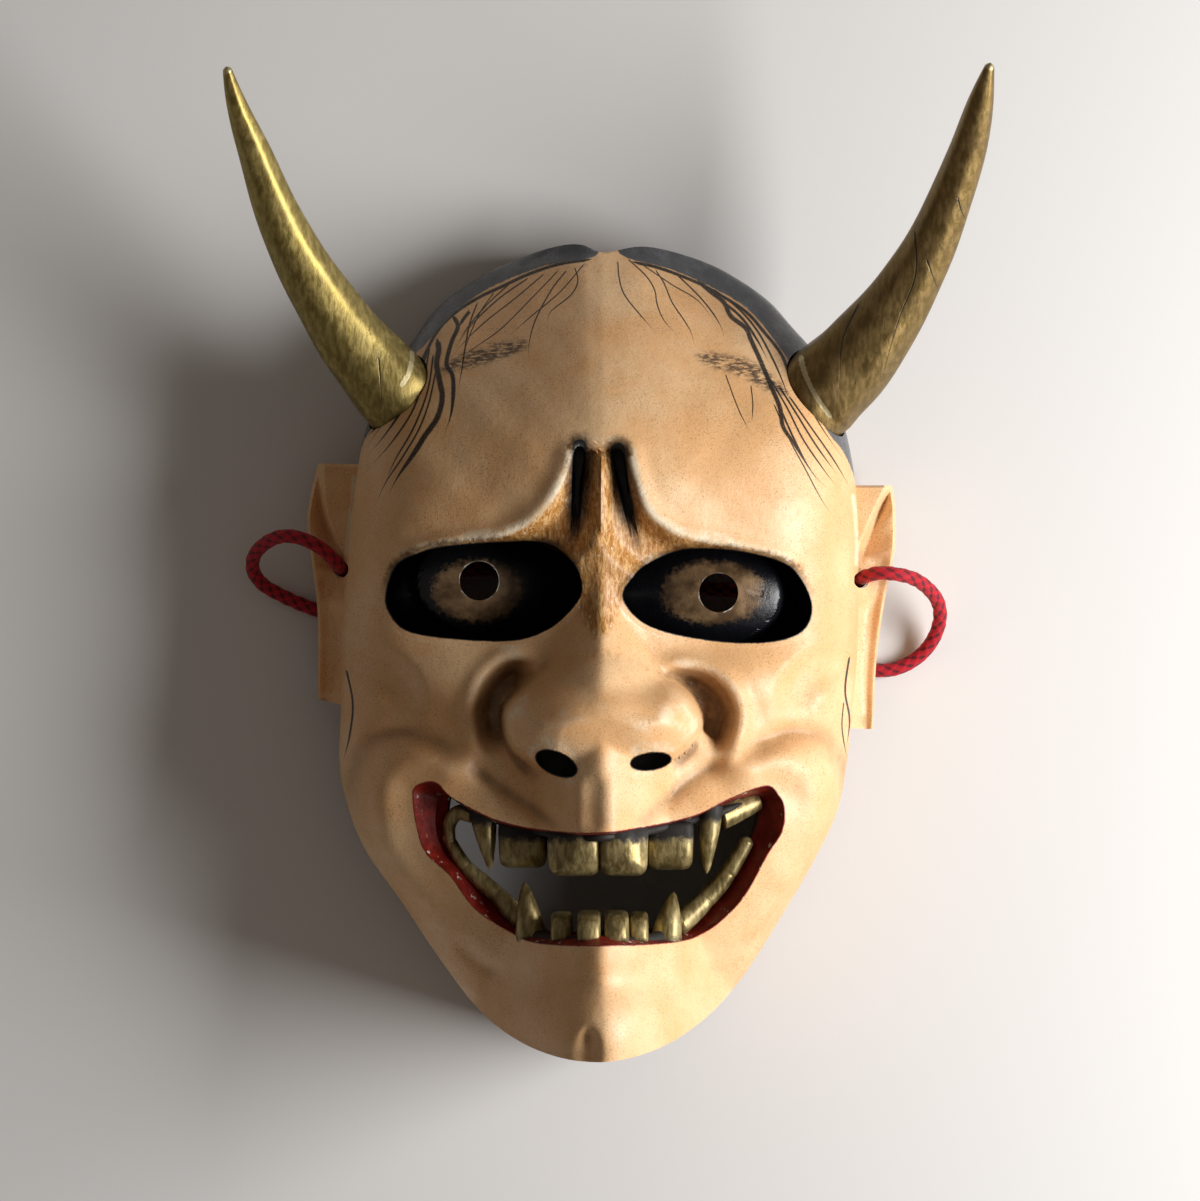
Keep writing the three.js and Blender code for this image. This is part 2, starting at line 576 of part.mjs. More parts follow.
// Closed solid from rings of equal length, with a fan at each end.
function solidOfRings(rings) {
  const sides = rings[0].length;
  const points = rings.flat();
  const triangles = [];
  for (let r = 0; r + 1 < rings.length; r += 1) {
    for (let s = 0; s < sides; s += 1) {
      const a = r * sides + s;
      const b = r * sides + ((s + 1) % sides);
      triangles.push([a, b, b + sides], [a, b + sides, a + sides]);
    }
  }
  const middleOf = (ring) => [0, 1, 2].map((j) => ring.reduce((sum, p) => sum + p[j], 0) / sides);
  const first = points.length;
  points.push(middleOf(rings[0]), middleOf(rings[rings.length - 1]));
  const top = (rings.length - 1) * sides;
  for (let s = 0; s < sides; s += 1) {
    const next = (s + 1) % sides;
    triangles.push([first, next, s], [first + 1, top + s, top + next]);
  }
  return solidOf(points, triangles);
}

// Points of a disc of rings; ring k has six times k points, so the triangles stay even.
function discPoints(rings, place) {
  const points = [place(0, 0)];
  for (let k = 1; k <= rings; k += 1) {
    for (let i = 0; i < CORNERS_OF_DISC * k; i += 1) points.push(place(k / rings, i / (CORNERS_OF_DISC * k)));
  }
  return points;
}

// Triangles of that disc, facing up where the rings turn anticlockwise.
function discTriangles(rings) {
  const startOf = (k) => (k === 0 ? 0 : 1 + (CORNERS_OF_DISC * k * (k - 1)) / 2);
  const triangles = [];
  for (let k = 1; k <= rings; k += 1) {
    const outer = CORNERS_OF_DISC * k;
    const inner = Math.max(CORNERS_OF_DISC * (k - 1), 1);
    for (let sector = 0; sector < CORNERS_OF_DISC; sector += 1) {
      for (let i = 0; i < k; i += 1) {
        const o = startOf(k) + ((sector * k + i) % outer);
        const oNext = startOf(k) + ((sector * k + i + 1) % outer);
        const n = startOf(k - 1) + ((sector * (k - 1) + i) % inner);
        triangles.push([n, o, oNext]);
        if (i < k - 1) triangles.push([n, oNext, startOf(k - 1) + ((sector * (k - 1) + i + 1) % inner)]);
      }
    }
  }
  return triangles;
}

// Closed solid: a disc surface on top, walls down from its edge and a flat floor.
function domeSolid(rings, place, floorRing) {
  const points = discPoints(rings, place);
  const triangles = discTriangles(rings);
  const sides = CORNERS_OF_DISC * rings;
  const edge = points.length - sides;
  const floor = points.length;
  for (let s = 0; s < sides; s += 1) points.push(floorRing(points[edge + s]));
  const middle = points.length;
  points.push([DISC_CENTRE[0], DISC_CENTRE[1], points[floor][2]]);
  for (let s = 0; s < sides; s += 1) {
    const next = (s + 1) % sides;
    triangles.push([edge + s, floor + s, floor + next], [edge + s, floor + next, edge + next]);
    triangles.push([middle, floor + next, floor + s]);
  }
  return solidOf(points, triangles);
}

// Share of the reach for a ring, denser toward the edge.
function ringShare(share) {
  return EVEN_RING_SHARE * share + (1 - EVEN_RING_SHARE) * Math.sin((share * Math.PI) / 2);
}

// Point of the head outline at a share of its length.
const outlineLengths = headCurve.map((p, i) => {
  const q = headCurve[(i + 1) % headCurve.length];
  return Math.hypot(q[0] - p[0], q[1] - p[1]);
});
const outlineTotal = outlineLengths.reduce((a, b) => a + b, 0);
function outlinePoint(share) {
  let left = share * outlineTotal;
  for (let i = 0; i < headCurve.length; i += 1) {
    if (left <= outlineLengths[i]) {
      const t = left / outlineLengths[i];
      const q = headCurve[(i + 1) % headCurve.length];
      return [0, 1].map((j) => headCurve[i][j] + (q[j] - headCurve[i][j]) * t);
    }
    left -= outlineLengths[i];
  }
  return headCurve[0];
}

// Point moved onto a carved edge that passes close to it, so that the edge stays crisp.
function onCarvedEdge(x, y) {
  for (const curve of carvedEdges) {
    const { distance, share, nearest } = alongCurve(x, y, curve);
    if (Math.abs(distance) < SNAP_REACH && share > 0.02 && share < 0.98) return nearest;
  }
  return [x, y];
}

// Carved front of the head down to the plane of the rim.
function headBlock() {
  const place = (ring, turn) => {
    const [ox, oy] = outlinePoint(turn);
    const share = ringShare(ring);
    const [x, y] = onCarvedEdge(
      DISC_CENTRE[0] + share * (ox - DISC_CENTRE[0]),
      DISC_CENTRE[1] + share * (oy - DISC_CENTRE[1]),
    );
    return [x, y, faceHeight(x, y)];
  };
  const toFloor = ([x, y]) => {
    const reach = Math.hypot(x - DISC_CENTRE[0], y - DISC_CENTRE[1]);
    const share = 1 - SKIRT_INSET / reach;
    return [DISC_CENTRE[0] + share * (x - DISC_CENTRE[0]), DISC_CENTRE[1] + share * (y - DISC_CENTRE[1]), 0];
  };
  return domeSolid(FACE_RINGS, place, toFloor);
}

// Space behind the face, open at the back.
function hollowBlock() {
  const place = (ring, turn) => {
    const [ox, oy] = outlinePoint(turn);
    const reach = Math.hypot(ox - DISC_CENTRE[0], oy - DISC_CENTRE[1]);
    const share = Math.sin((ring * Math.PI) / 2) * (1 - RIM_WIDTH / reach);
    const x = DISC_CENTRE[0] + share * (ox - DISC_CENTRE[0]);
    const y = DISC_CENTRE[1] + share * (oy - DISC_CENTRE[1]);
    return [x, y, ring === 1 ? 0 : hollowHeight(x, y)];
  };
  return domeSolid(HOLLOW_RINGS, place, ([x, y]) => [x, y, BELOW_RIM]);
}

// Column with an outline given as points, between two heights.
function column(outline, low, high) {
  return solidOfRings([low, high].map((z) => outline.map(([x, y]) => [x, y, z])));
}

// Outline of an ellipse turned about its centre.
function ellipse([cx, cy], [a, b], turn, sides) {
  return Array.from({ length: sides }, (_, i) => {
    const angle = (i / sides) * 2 * Math.PI;
    const [u, v] = [a * Math.cos(angle), b * Math.sin(angle)];
    return [cx + u * Math.cos(turn) - v * Math.sin(turn), cy + u * Math.sin(turn) + v * Math.cos(turn)];
  });
}

// Space in front of an eyeball, inside the opening of the lids.
function eyeSocket(eye) {
  const opening = curveThrough(eye.opening, true, 2);
  const centre = eye.pupil;
  const rings = [];
  for (let k = 1; k <= EYE_RINGS; k += 1) {
    const share = k / EYE_RINGS;
    rings.push(opening.map(([ox, oy]) => {
      const x = centre[0] + share * (ox - centre[0]);
      const y = centre[1] + share * (oy - centre[1]);
      return [x, y, ballHeight(eye, x, y)];
    }));
  }
  rings.push(opening.map(([x, y]) => [x, y, ABOVE_FACE]));
  return solidOfRings(rings);
}

// Space of the mouth: the red lips slope in to the opening, which goes right through.
function mouthSpace() {
  const edge = curveThrough(LIP_EDGE, true, 2);
  const opening = curveThrough(LIP_OPENING, true, 2);
  const surface = edge.map(([x, y]) => faceHeight(x, y));
  return solidOfRings([
    opening.map(([x, y]) => [x, y, BELOW_RIM]),
    opening.map(([x, y], i) => [x, y, surface[i] - LIP_DEPTH]),
    edge.map(([x, y], i) => [x, y, surface[i] - LIP_EDGE_SINK]),
    edge.map(([x, y]) => [x, y, ABOVE_FACE]),
  ]);
}

// Space of a frown slot, from its floor up.
function frownSlot(line) {
  const curve = curveThrough(line, false, 2);
  const half = SLOT_WIDTH / 2;
  const sideOf = (side) => curve.map(([x, y], i) => {
    const a = curve[Math.max(i - 1, 0)];
    const b = curve[Math.min(i + 1, curve.length - 1)];
    const length = Math.hypot(b[0] - a[0], b[1] - a[1]);
    const width = half * side * Math.sqrt(ease(-0.25, 1, Math.min(i, 2)));
    return [x - ((b[1] - a[1]) / length) * width, y + ((b[0] - a[0]) / length) * width];
  });
  const outline = [...sideOf(-1), ...sideOf(1).reverse()];
  return column(outline, SLOT_FLOOR, ABOVE_FACE);
}

// Round bar through points whose fourth number is the radius, closed at both ends.
function taperedBar(points, sides, steps, grow = 0) {
  const curve = curveThrough(points, false, steps);
  let normal = new THREE.Vector3(0, 0, 1);
  const rings = curve.map((point, i) => {
    const a = curve[Math.max(i - 1, 0)];
    const b = curve[Math.min(i + 1, curve.length - 1)];
    const tangent = new THREE.Vector3(b[0] - a[0], b[1] - a[1], b[2] - a[2]).normalize();
    normal = normal.clone().addScaledVector(tangent, -normal.dot(tangent)).normalize();
    const across = new THREE.Vector3().crossVectors(tangent, normal);
    const radius = point[3] + grow;
    return Array.from({ length: sides }, (_, s) => {
      const angle = (s / sides) * 2 * Math.PI;
      return [0, 1, 2].map((j) => point[j]
        + radius * (Math.cos(angle) * normal.getComponent(j) + Math.sin(angle) * across.getComponent(j)));
    });
  });
  return solidOfRings(rings);
}

// Height just below the lips, where the teeth show their fronts.
function toothFront(x, y) {
  return faceHeight(x, y) - TEETH_BELOW_LIP;
}

// Flat tooth with a bulged front, rooted in the ridge behind the lip.
function flatTooth({ from, to, edge }, root) {
  const middle = (from + to) / 2;
  const high = toothFront(middle, root);
  const depth = high - TEETH_BACK;
  const geometry = new THREE.BoxGeometry(to - from, Math.abs(edge - root), depth, 2, 2, 1);
  const position = geometry.getAttribute('position');
  for (let i = 0; i < position.count; i += 1) {
    const across = position.getX(i) / (to - from);
    const along = (position.getY(i) * Math.sign(root - edge)) / Math.abs(edge - root);
    if (position.getZ(i) > 0) {
      const bulge = TOOTH_BULGE * (1 - 4 * across * across) - TOOTH_LEAN * Math.max(-along, 0);
      position.setZ(i, position.getZ(i) + bulge);
    }
    position.setX(i, position.getX(i) * (1 - TOOTH_TAPER * (0.5 - along)));
  }
  geometry.translate(middle, (edge + root) / 2, TEETH_BACK + depth / 2);
  return solidOfGeometry(geometry);
}

// Pointed tooth that leans from its root to its tip.
function fang({ root, tip, radius }) {
  const high = toothFront(root[0], root[1]) - radius + FANG_RISE;
  const points = [0, 0.4, 0.75, 1].map((t) => [
    root[0] + (tip[0] - root[0]) * t,
    root[1] + (tip[1] - root[1]) * t,
    high + FANG_BOW * Math.sin(t * Math.PI) - t,
    radius + (FANG_TIP_RADIUS - radius) * t ** 1.6,
  ]);
  return taperedBar(points, BAR_SIDES, 1);
}

// Row of worn side teeth that runs along the edge of the opening.
function sideRow({ points, radius }) {
  const line = points.map(([x, y]) => [x, y, toothFront(x, y) - radius - SIDE_ROW_SINK, radius]);
  return taperedBar(line, BAR_SIDES, 1);
}

// Height of an ear above its flat edge: a leaf beside the head and a lower shell outside it, down to the
// hole of the cord, then a small bump and a plain strip down to the lobe.
function earRise(u, v, holeAt) {
  const ridgeAt = EAR_LEAF.top - EAR_LEAF.shift * Math.min(v / holeAt, 1);
  const leaf = 1 - ease(ridgeAt + EAR_LEAF.run[0], ridgeAt + EAR_LEAF.run[1], u);
  const upper = 1 - ease(holeAt - 0.02, holeAt + 0.06, v);
  const upperRise = EAR_LEAF.height * leaf + EAR_SHELL * ease(ridgeAt, 1, u);
  const lowerRise = EAR_LOWER.height * (1 - ease(...EAR_LOWER.run, u));
  const acrossBump = (u - EAR_BUMP.at[0]) / EAR_BUMP.half[0];
  const alongBump = (v - holeAt - EAR_BUMP.at[1]) / EAR_BUMP.half[1];
  const bump = EAR_BUMP.height * bell(Math.hypot(acrossBump, alongBump), 1);
  return upper * upperRise + (1 - upper) * lowerRise + bump;
}

// Ear as a folded plate.
function earPlate({ edge, root, holeAt }) {
  const outer = new THREE.CatmullRomCurve3(edge.map(([x, y]) => new THREE.Vector3(x, y, 0)));
  const inner = new THREE.CatmullRomCurve3(root.map(([x, y]) => new THREE.Vector3(x, y, 0)));
  const rings = EAR_ALONG.map((v) => {
    const a = inner.getPoint(v);
    const b = outer.getPoint(v);
    const front = [];
    const back = [];
    EAR_ACROSS.forEach((u) => {
      const x = a.x + (b.x - a.x) * u;
      const y = a.y + (b.y - a.y) * u;
      const corner = u === 1 ? EAR_CORNER_DROP : 0;
      front.push([x, y, EAR_EDGE + earRise(u, v, holeAt) - corner]);
      back.unshift([x, y, EAR_BACK]);
    });
    return [...front, ...back];
  });
  return solidOfRings(rings);
}

// Passage under the rim at both ears.
function rimArch() {
  const { bottom, top, height, slope } = ARCH;
  const profile = [
    [bottom, BELOW_RIM], [bottom, 0], [bottom + slope, height],
    [top - slope, height], [top, 0], [top, BELOW_RIM],
  ];
  const rings = [-ABOVE_FACE, ABOVE_FACE].map((x) => profile.map(([y, z]) => [x, y, z]));
  return solidOfRings(rings);
}

// The carved block with its ears and teeth.
function maskFace() {
  const holes = CORD_HOLES.map((centre) => {
    const radius = CORD_DIAMETER / 2 + CORD_HOLE_GAP;
    return column(ellipse(centre, [radius, radius], 0, 12), BELOW_RIM, 32);
  });
  const pupils = Object.values(EYES).map((eye) => (
    column(ellipse(eye.pupil, [PUPIL_RADIUS, PUPIL_RADIUS], 0, 16), BELOW_RIM, ABOVE_FACE)));
  const nostrils = NOSTRILS.map(({ centre, half, turn }) => (
    column(ellipse(centre, half, turn, 12), NOSTRIL_FLOOR, ABOVE_FACE)));
  let solid = headBlock();
  for (const ear of Object.values(EARS)) solid = solid.add(earPlate(ear));
  solid = solid.subtract(hollowBlock()).subtract(rimArch()).subtract(mouthSpace());
  for (const eye of Object.values(EYES)) solid = solid.subtract(eyeSocket(eye));
  for (const line of Object.values(FROWN_SLOTS)) solid = solid.subtract(frownSlot(line));
  for (const cut of [...pupils, ...nostrils, ...holes]) solid = solid.subtract(cut);
  for (const tooth of UPPER_TEETH) solid = solid.add(flatTooth(tooth, UPPER_ROOT));
  for (const tooth of LOWER_TEETH) solid = solid.add(flatTooth(tooth, LOWER_ROOT));
  for (const tooth of FANGS) solid = solid.add(fang(tooth));
  for (const row of SIDE_TEETH) solid = solid.add(sideRow(row));
  for (const line of Object.values(HORNS)) {
    solid = solid.subtract(taperedBar(line, HORN_SIDES, HORN_STEPS, HORN_GAP));
  }
  return solid;
}

// The cord and the knot at each end of it.
function hangingCord() {
  const points = CORD_ROUTE.map((p) => new THREE.Vector3(...p));
  const route = new THREE.CatmullRomCurve3(points, false, 'centripetal');
  const circle = new THREE.Shape(ellipse([0, 0], [CORD_DIAMETER / 2, CORD_DIAMETER / 2], 0, CORD_SIDES)
    .map(([x, y]) => new THREE.Vector2(x, y)));
  const settings = { steps: CORD_STEPS, extrudePath: route, bevelEnabled: false };
  const tube = new THREE.ExtrudeGeometry(circle, settings);
  let solid = solidOfGeometry(tube);
  for (const [x, y, z] of KNOTS) {
    const ball = new THREE.SphereGeometry(1, 8, 6);
    ball.scale(...KNOT_HALF);
    ball.translate(x, y, z);
    solid = solid.add(solidOfGeometry(ball));
  }
  return solid;
}

// Named mesh from a solid.
function meshOf(name, solid, colour, roughness) {
  const { vertProperties, triVerts } = solid.getMesh();
  const geometry = new THREE.BufferGeometry();
  geometry.setAttribute('position', new THREE.BufferAttribute(new Float32Array(vertProperties), 3));
  geometry.setIndex(new THREE.BufferAttribute(new Uint32Array(triVerts), 1));
  const mesh = new THREE.Mesh(geometry, new THREE.MeshStandardMaterial({ color: colour, roughness }));
  mesh.name = name;
  return mesh;
}

const group = new THREE.Group();
group.name = 'hannya_mask';
const mask = [
  meshOf('mask_face', maskFace(), PAINT_COLOUR, 0.6),
  meshOf('horn_left', taperedBar(HORNS.left, HORN_SIDES, HORN_STEPS), GOLD_COLOUR, 0.4),
  meshOf('horn_right', taperedBar(HORNS.right, HORN_SIDES, HORN_STEPS), GOLD_COLOUR, 0.4),
];
const box = new THREE.Box3();
for (const mesh of mask) box.expandByObject(mesh);
const cord = meshOf('cord', hangingCord(), CORD_COLOUR, 0.9);
const middle = box.getCenter(new THREE.Vector3());
for (const mesh of [...mask, cord]) {
  mesh.geometry.translate(-middle.x, -middle.y, -box.min.z);
  group.add(mesh);
}

export default group;
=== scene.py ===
"""Hannya mask lying on its back rim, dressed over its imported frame.

Shapes are worked out in millimetres in the working frame of the CAD part: x = 0 on the middle of
the face, +Y from the chin to the horns and z = 0 on the plane of the rim.
"""

from __future__ import annotations

import logging
import math
from dataclasses import dataclass, field
from enum import Enum
from typing import Sequence

import bpy
import numpy as np
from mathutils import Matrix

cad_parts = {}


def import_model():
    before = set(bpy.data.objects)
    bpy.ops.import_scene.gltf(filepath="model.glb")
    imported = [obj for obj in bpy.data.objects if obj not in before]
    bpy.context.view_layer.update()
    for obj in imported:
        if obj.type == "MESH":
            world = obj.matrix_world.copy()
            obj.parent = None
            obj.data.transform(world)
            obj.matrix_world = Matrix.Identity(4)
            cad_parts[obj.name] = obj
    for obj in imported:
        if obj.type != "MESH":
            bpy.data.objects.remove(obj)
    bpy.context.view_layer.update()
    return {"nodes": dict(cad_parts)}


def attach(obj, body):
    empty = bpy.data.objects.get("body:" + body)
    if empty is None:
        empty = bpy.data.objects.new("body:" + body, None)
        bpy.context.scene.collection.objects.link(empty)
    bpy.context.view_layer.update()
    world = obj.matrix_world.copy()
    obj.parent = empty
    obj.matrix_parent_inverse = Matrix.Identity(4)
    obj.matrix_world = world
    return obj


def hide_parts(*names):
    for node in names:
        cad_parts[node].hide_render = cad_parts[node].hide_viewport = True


LOG = logging.getLogger("hannya_mask")
Array = np.ndarray
Point = tuple[float, ...]

MM = 0.001
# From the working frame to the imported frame, whose origin is under the middle of the box
FRAME_SHIFT = np.array([-2.2251, -23.1783, 0.0])
DISC_CENTRE = (0.0, 2.0)
CORNERS_OF_DISC = 6
BELOW_RIM = -6.0
ABOVE_FACE = 120.0
FAR_OUTSIDE = -99.0

# Lines of the carving as (x, y) in mm; the profiles and the bridge are (y, value)
HEAD_OUTLINE = (
    (0.8, 104.7), (-5, 106.8), (-11.8, 106.3), (-23.1, 102.6), (-33.9, 97.1), (-43.1, 90),
    (-50.1, 80.3), (-57.8, 67.7), (-61.7, 57.8), (-64, 46), (-66.2, 28.9), (-67.5, 13.1),
    (-68, -2.6), (-68.2, -17.1), (-68.6, -28.9), (-66.9, -39.4), (-61.7, -52.5), (-52.5, -65.6),
    (-42, -81.4), (-31.5, -94.5), (-18.4, -102.9), (-2.6, -106.3), (13.1, -103.9), (26.2, -97.1),
    (36.8, -86.9), (47.2, -70.9), (56.4, -55.1), (62.5, -42), (65.1, -28.9), (66.2, -18.4),
    (67.7, -2.6), (68.2, 13.1), (68, 28.9), (67.2, 43.8), (65.3, 55), (62, 67.7),
    (56.4, 78.2), (50.7, 85), (45.1, 91.4), (38.3, 96.6), (29.4, 101.6), (18.1, 105.3), (10, 106.3),
)
MIDDLE_PROFILE = (
    (-112, 26), (-106.5, 30), (-103, 43), (-98, 53), (-93, 57), (-86, 57.5), (-80, 59.5), (-74, 62),
    (-62, 66), (-46, 68), (-36, 64), (-20, 60), (-5, 61), (10, 64), (24, 69), (34, 71), (46, 71),
    (62, 67), (80, 56.5), (93, 44), (101, 33.5), (106.8, 22), (112, 18),
)
EDGE_PROFILE = (
    (-112, 28), (-80, 27), (-40, 25), (0, 24), (45, 26), (60, 26), (80, 24), (95, 22), (112, 20),
)
BROW_LINES = (
    ((-53.8, 23), (-44.6, 26.4), (-34.1, 28.3), (-25.5, 29.9), (-16.8, 34.4), (-11.6, 40.7),
     (-8.4, 48.3), (-7.1, 56)),
    ((6.4, 56), (8.9, 45.9), (12.1, 36.8), (17.3, 32), (22.6, 29.4), (34.1, 27.1), (45.9, 24.2),
     (52.5, 20)),
)
TEMPLE_LINES = (
    ((-64.6, 48.5), (-65.2, 40), (-66.2, 30), (-67.2, 20)),
    ((66.2, 43), (67.2, 35), (67.6, 27), (67.2, 18)),
)
FROWN_SLOTS = (
    ((-5.2, 53), (-5.8, 44.6), (-6.5, 32), (-7.6, 26)),
    ((4.6, 52.2), (6, 43.3), (8.6, 31.5), (10, 27)),
)
CHEEKBONE = ((70, 8), (61.5, 2.6), (53, -1.6), (48, -6.5), (46, -12), (45.5, -18), (44.5, -22))
SMILE_ROLL = (
    (30, -36), (38, -30.5), (47, -28.5), (54.5, -31), (58, -38), (58, -47), (54.5, -56.5), (47, -66),
    (40, -76),
)
SMILE_GROOVE = (
    (34, -29), (43, -24), (51, -21.6), (59.5, -24), (64.2, -31), (65.5, -38.7), (64.2, -47),
)
NOSE_OUTLINE = (
    (0.3, -1), (-8, -2), (-14.2, -4.7), (-20.5, -9.2), (-24.9, -13.7), (-26, -17.8), (-24.9, -24.2),
    (-20.9, -29.2), (-14, -33.4), (-7, -33.8), (0, -33.2), (7, -32.4), (14, -31.5), (20.7, -28.6),
    (26, -23.1), (27.1, -17.9), (24.6, -11.8), (20.2, -7.9), (14.2, -6.1), (8, -3),
)
BRIDGE_CREST = (
    (-16, 81), (-8, 77), (0, 71.5), (10, 67.5), (20, 67), (34, 67.5), (50, 66), (60, 40), (75, 0),
)
BRIDGE_HALF = ((-16, 21), (-8, 18.5), (0, 14), (10, 8.5), (20, 6), (34, 5))
GROOVES = (
    (((-13.7, -3.2), (-23.4, -1.8), (-30.2, -6.6), (-33.3, -13.7), (-33.1, -19.9), (-30.7, -29.7)), 1),
    (((12.1, -5), (22.3, -3.8), (29.1, -5.5), (34.1, -10.2), (36.2, -16.3), (35.2, -22.1),
      (33.1, -26.5), (28.1, -29.7)), -1),
)
NOSTRILS = (((-11.3, -29.2), (5.6, 2.9), -0.42), ((13.2, -28.7), (5.3, 2.2), 0.12))
LIP_FOLDS = (
    ((-35.2, -28.6), (-26.2, -35.4), (-10, -46.2)),
    ((34.1, -28.9), (24.9, -32.8), (8.9, -45.9)),
)
CHIN_NOTCH = ((-2.9, -96), (-2.9, -100), (-3, -104.5))
CHIN_CREASES = (((-39, -74.6), (-31, -82), (-23, -87.2)), ((41, -74), (33, -82), (25, -88)))
LIP_EDGE = (
    (-48.6, -37), (-47.5, -46.5), (-45.1, -53), (-39.1, -58.5), (-32.6, -67.2), (-23.6, -73.2),
    (-16.2, -75.9), (1.1, -76.1), (20.1, -75.7), (27.8, -73.2), (34.6, -67.7), (39.1, -61.7),
    (43.3, -53.8), (47.5, -47), (48, -41), (46.5, -37.8), (43.3, -35.4), (34.6, -38.3),
    (24.4, -43.1), (11, -45.9), (-2.4, -47.2), (-15, -46.7), (-25.7, -44.6), (-32.6, -41.7),
    (-39.1, -38.1), (-42.5, -34.6), (-45.9, -34.6),
)
LIP_OPENING = (
    (-38.9, -38.9), (-39.6, -46), (-38.4, -51.7), (-34.6, -57.2), (-29, -63), (-22.5, -69.2),
    (-14.4, -72.9), (0.5, -73.5), (13.1, -73), (22.5, -69.8), (29, -64.4), (33, -59.6),
    (37, -53.2), (40.2, -46.5), (41.2, -41.5), (41, -39), (37.4, -38.9), (30.6, -41.3),
    (22.4, -44.5), (10.6, -46.9), (-2.4, -48.2), (-15, -47.7), (-25.2, -45.8), (-31.2, -43.4),
    (-34.6, -41.6), (-36.6, -39.8), (-37.8, -39.0),
)
LIP_DEPTH = 7.0
FOREHEAD_MOUND = ((27, 48), (22, 20), 2.2)
CHEEK_MOUND = ((40, -6), (15, 9), 2.5)
CHIN_LOBES = ((12, -97), (13, 9), 3.5)
CHIN_HOLLOW = ((0, -86), (26, 5), -2.5)


# Curves and heights


def ease(start: float, end: float, value: Array) -> Array:
    """0 below the start and 1 above the end, with 3t^2 - 2t^3 between."""
    t = np.clip((value - start) / (end - start), 0.0, 1.0)
    return t * t * (3.0 - 2.0 * t)


def bell(distance: Array, width: Array | float) -> Array:
    """exp(-(distance / width)^2)."""
    return np.exp(-((distance / width) ** 2))


def soft_max(a: Array, b: Array, rounding: Array | float) -> Array:
    """Larger of two heights with a rounded join: (a + b + sqrt((a - b)^2 + r^2)) / 2."""
    return 0.5 * (a + b + np.sqrt((a - b) ** 2 + rounding * rounding))


def profile_at(pairs: Sequence[Point], at: Array) -> Array:
    """Height of a profile of (place, height) pairs, a cubic with central slopes between them.

    Args:
        pairs: places in rising order with the height at each.
        at: places to look up; outside the pairs the end height holds.
    Returns:
        The heights.
    """
    xs, zs = np.array(pairs, float).T
    slope = np.gradient(zs, xs, edge_order=1)
    slope[1:-1] = (zs[2:] - zs[:-2]) / (xs[2:] - xs[:-2])
    q = np.clip(at, xs[0], xs[-1])
    i = np.clip(np.searchsorted(xs, q, side="right") - 1, 0, len(xs) - 2)
    step = xs[i + 1] - xs[i]
    t = (q - xs[i]) / step
    return ((2 * t**3 - 3 * t**2 + 1) * zs[i] + (t**3 - 2 * t**2 + t) * step * slope[i]
            + (3 * t**2 - 2 * t**3) * zs[i + 1] + (t**3 - t**2) * step * slope[i + 1])


def curve_through(points: Sequence[Point], closed: bool = False, steps: int = 6) -> Array:
    """Smooth (Catmull-Rom) curve through points.

    Args:
        points: the points, of any number of coordinates.
        closed: True where the last point joins the first.
        steps: parts that each span is cut into.
    Returns:
        An array of the points of the curve; a closed curve doesn't repeat its first point.
    """
    p = np.array(points, float)
    if closed:
        before, after, second = np.roll(p, 1, 0), np.roll(p, -1, 0), np.roll(p, -2, 0)
        here = p
    else:
        ends = np.vstack([2 * p[0] - p[1], p, 2 * p[-1] - p[-2]])
        before, here, after, second = ends[:-3], ends[1:-2], ends[2:-1], ends[3:]
    t = (np.arange(steps) / steps)[None, :, None]
    a, b, c, d = (q[:, None, :] for q in (before, here, after, second))
    curve = 0.5 * (2 * b + (c - a) * t + (2 * a - 5 * b + 4 * c - d) * t**2
                   + (3 * b - a - 3 * c + d) * t**3)
    curve = curve.reshape(-1, p.shape[1])
    return curve if closed else np.vstack([curve, p[-1]])


def centripetal(points: Array, steps: int) -> Array:
    """Centripetal Catmull-Rom curve, whose knots are spaced by the root of the distance."""
    ends = np.vstack([2 * points[0] - points[1], points, 2 * points[-1] - points[-2]])
    found = []
    for a, b, c, d in zip(ends[:-3], ends[1:-2], ends[2:-1], ends[3:]):
        k1 = math.sqrt(np.linalg.norm(b - a))
        k2 = k1 + math.sqrt(np.linalg.norm(c - b))
        k3 = k2 + math.sqrt(np.linalg.norm(d - c))
        t = np.linspace(k1, k2, steps, endpoint=False)[:, None]
        p = (k1 - t) / k1 * a + t / k1 * b
        q = (k2 - t) / (k2 - k1) * b + (t - k1) / (k2 - k1) * c
        r = (k3 - t) / (k3 - k2) * c + (t - k2) / (k3 - k2) * d
        first = (k2 - t) / k2 * p + t / k2 * q
        second = (k3 - t) / (k3 - k1) * q + (t - k1) / (k3 - k1) * r
        found.append((k2 - t) / (k2 - k1) * first + (t - k1) / (k2 - k1) * second)
    return np.vstack(found + [points[-1:]])


def along_curve(x: Array, y: Array, curve: Array) -> tuple[Array, Array]:
    """Signed distance to an open curve, positive on its left, and the share of its length."""
    steps = curve[1:, :2] - curve[:-1, :2]
    lengths = np.hypot(steps[:, 0], steps[:, 1])
    total = lengths.sum()
    best = np.full(np.shape(x), np.inf)
    side = np.ones(np.shape(x))
    share = np.zeros(np.shape(x))
    passed = 0.0
    for (ax, ay), (dx, dy), length in zip(curve[:-1, :2], steps, lengths):
        if length < 1e-9:
            continue
        wx, wy = x - ax, y - ay
        t = np.clip((wx * dx + wy * dy) / length**2, 0.0, 1.0)
        distance = np.hypot(wx - t * dx, wy - t * dy)
        nearer = distance < best
        best = np.where(nearer, distance, best)
        side = np.where(nearer, np.where(dx * wy - dy * wx >= 0, 1.0, -1.0), side)
        share = np.where(nearer, passed + t * length, share)
        passed += length
    return best * side, share / total


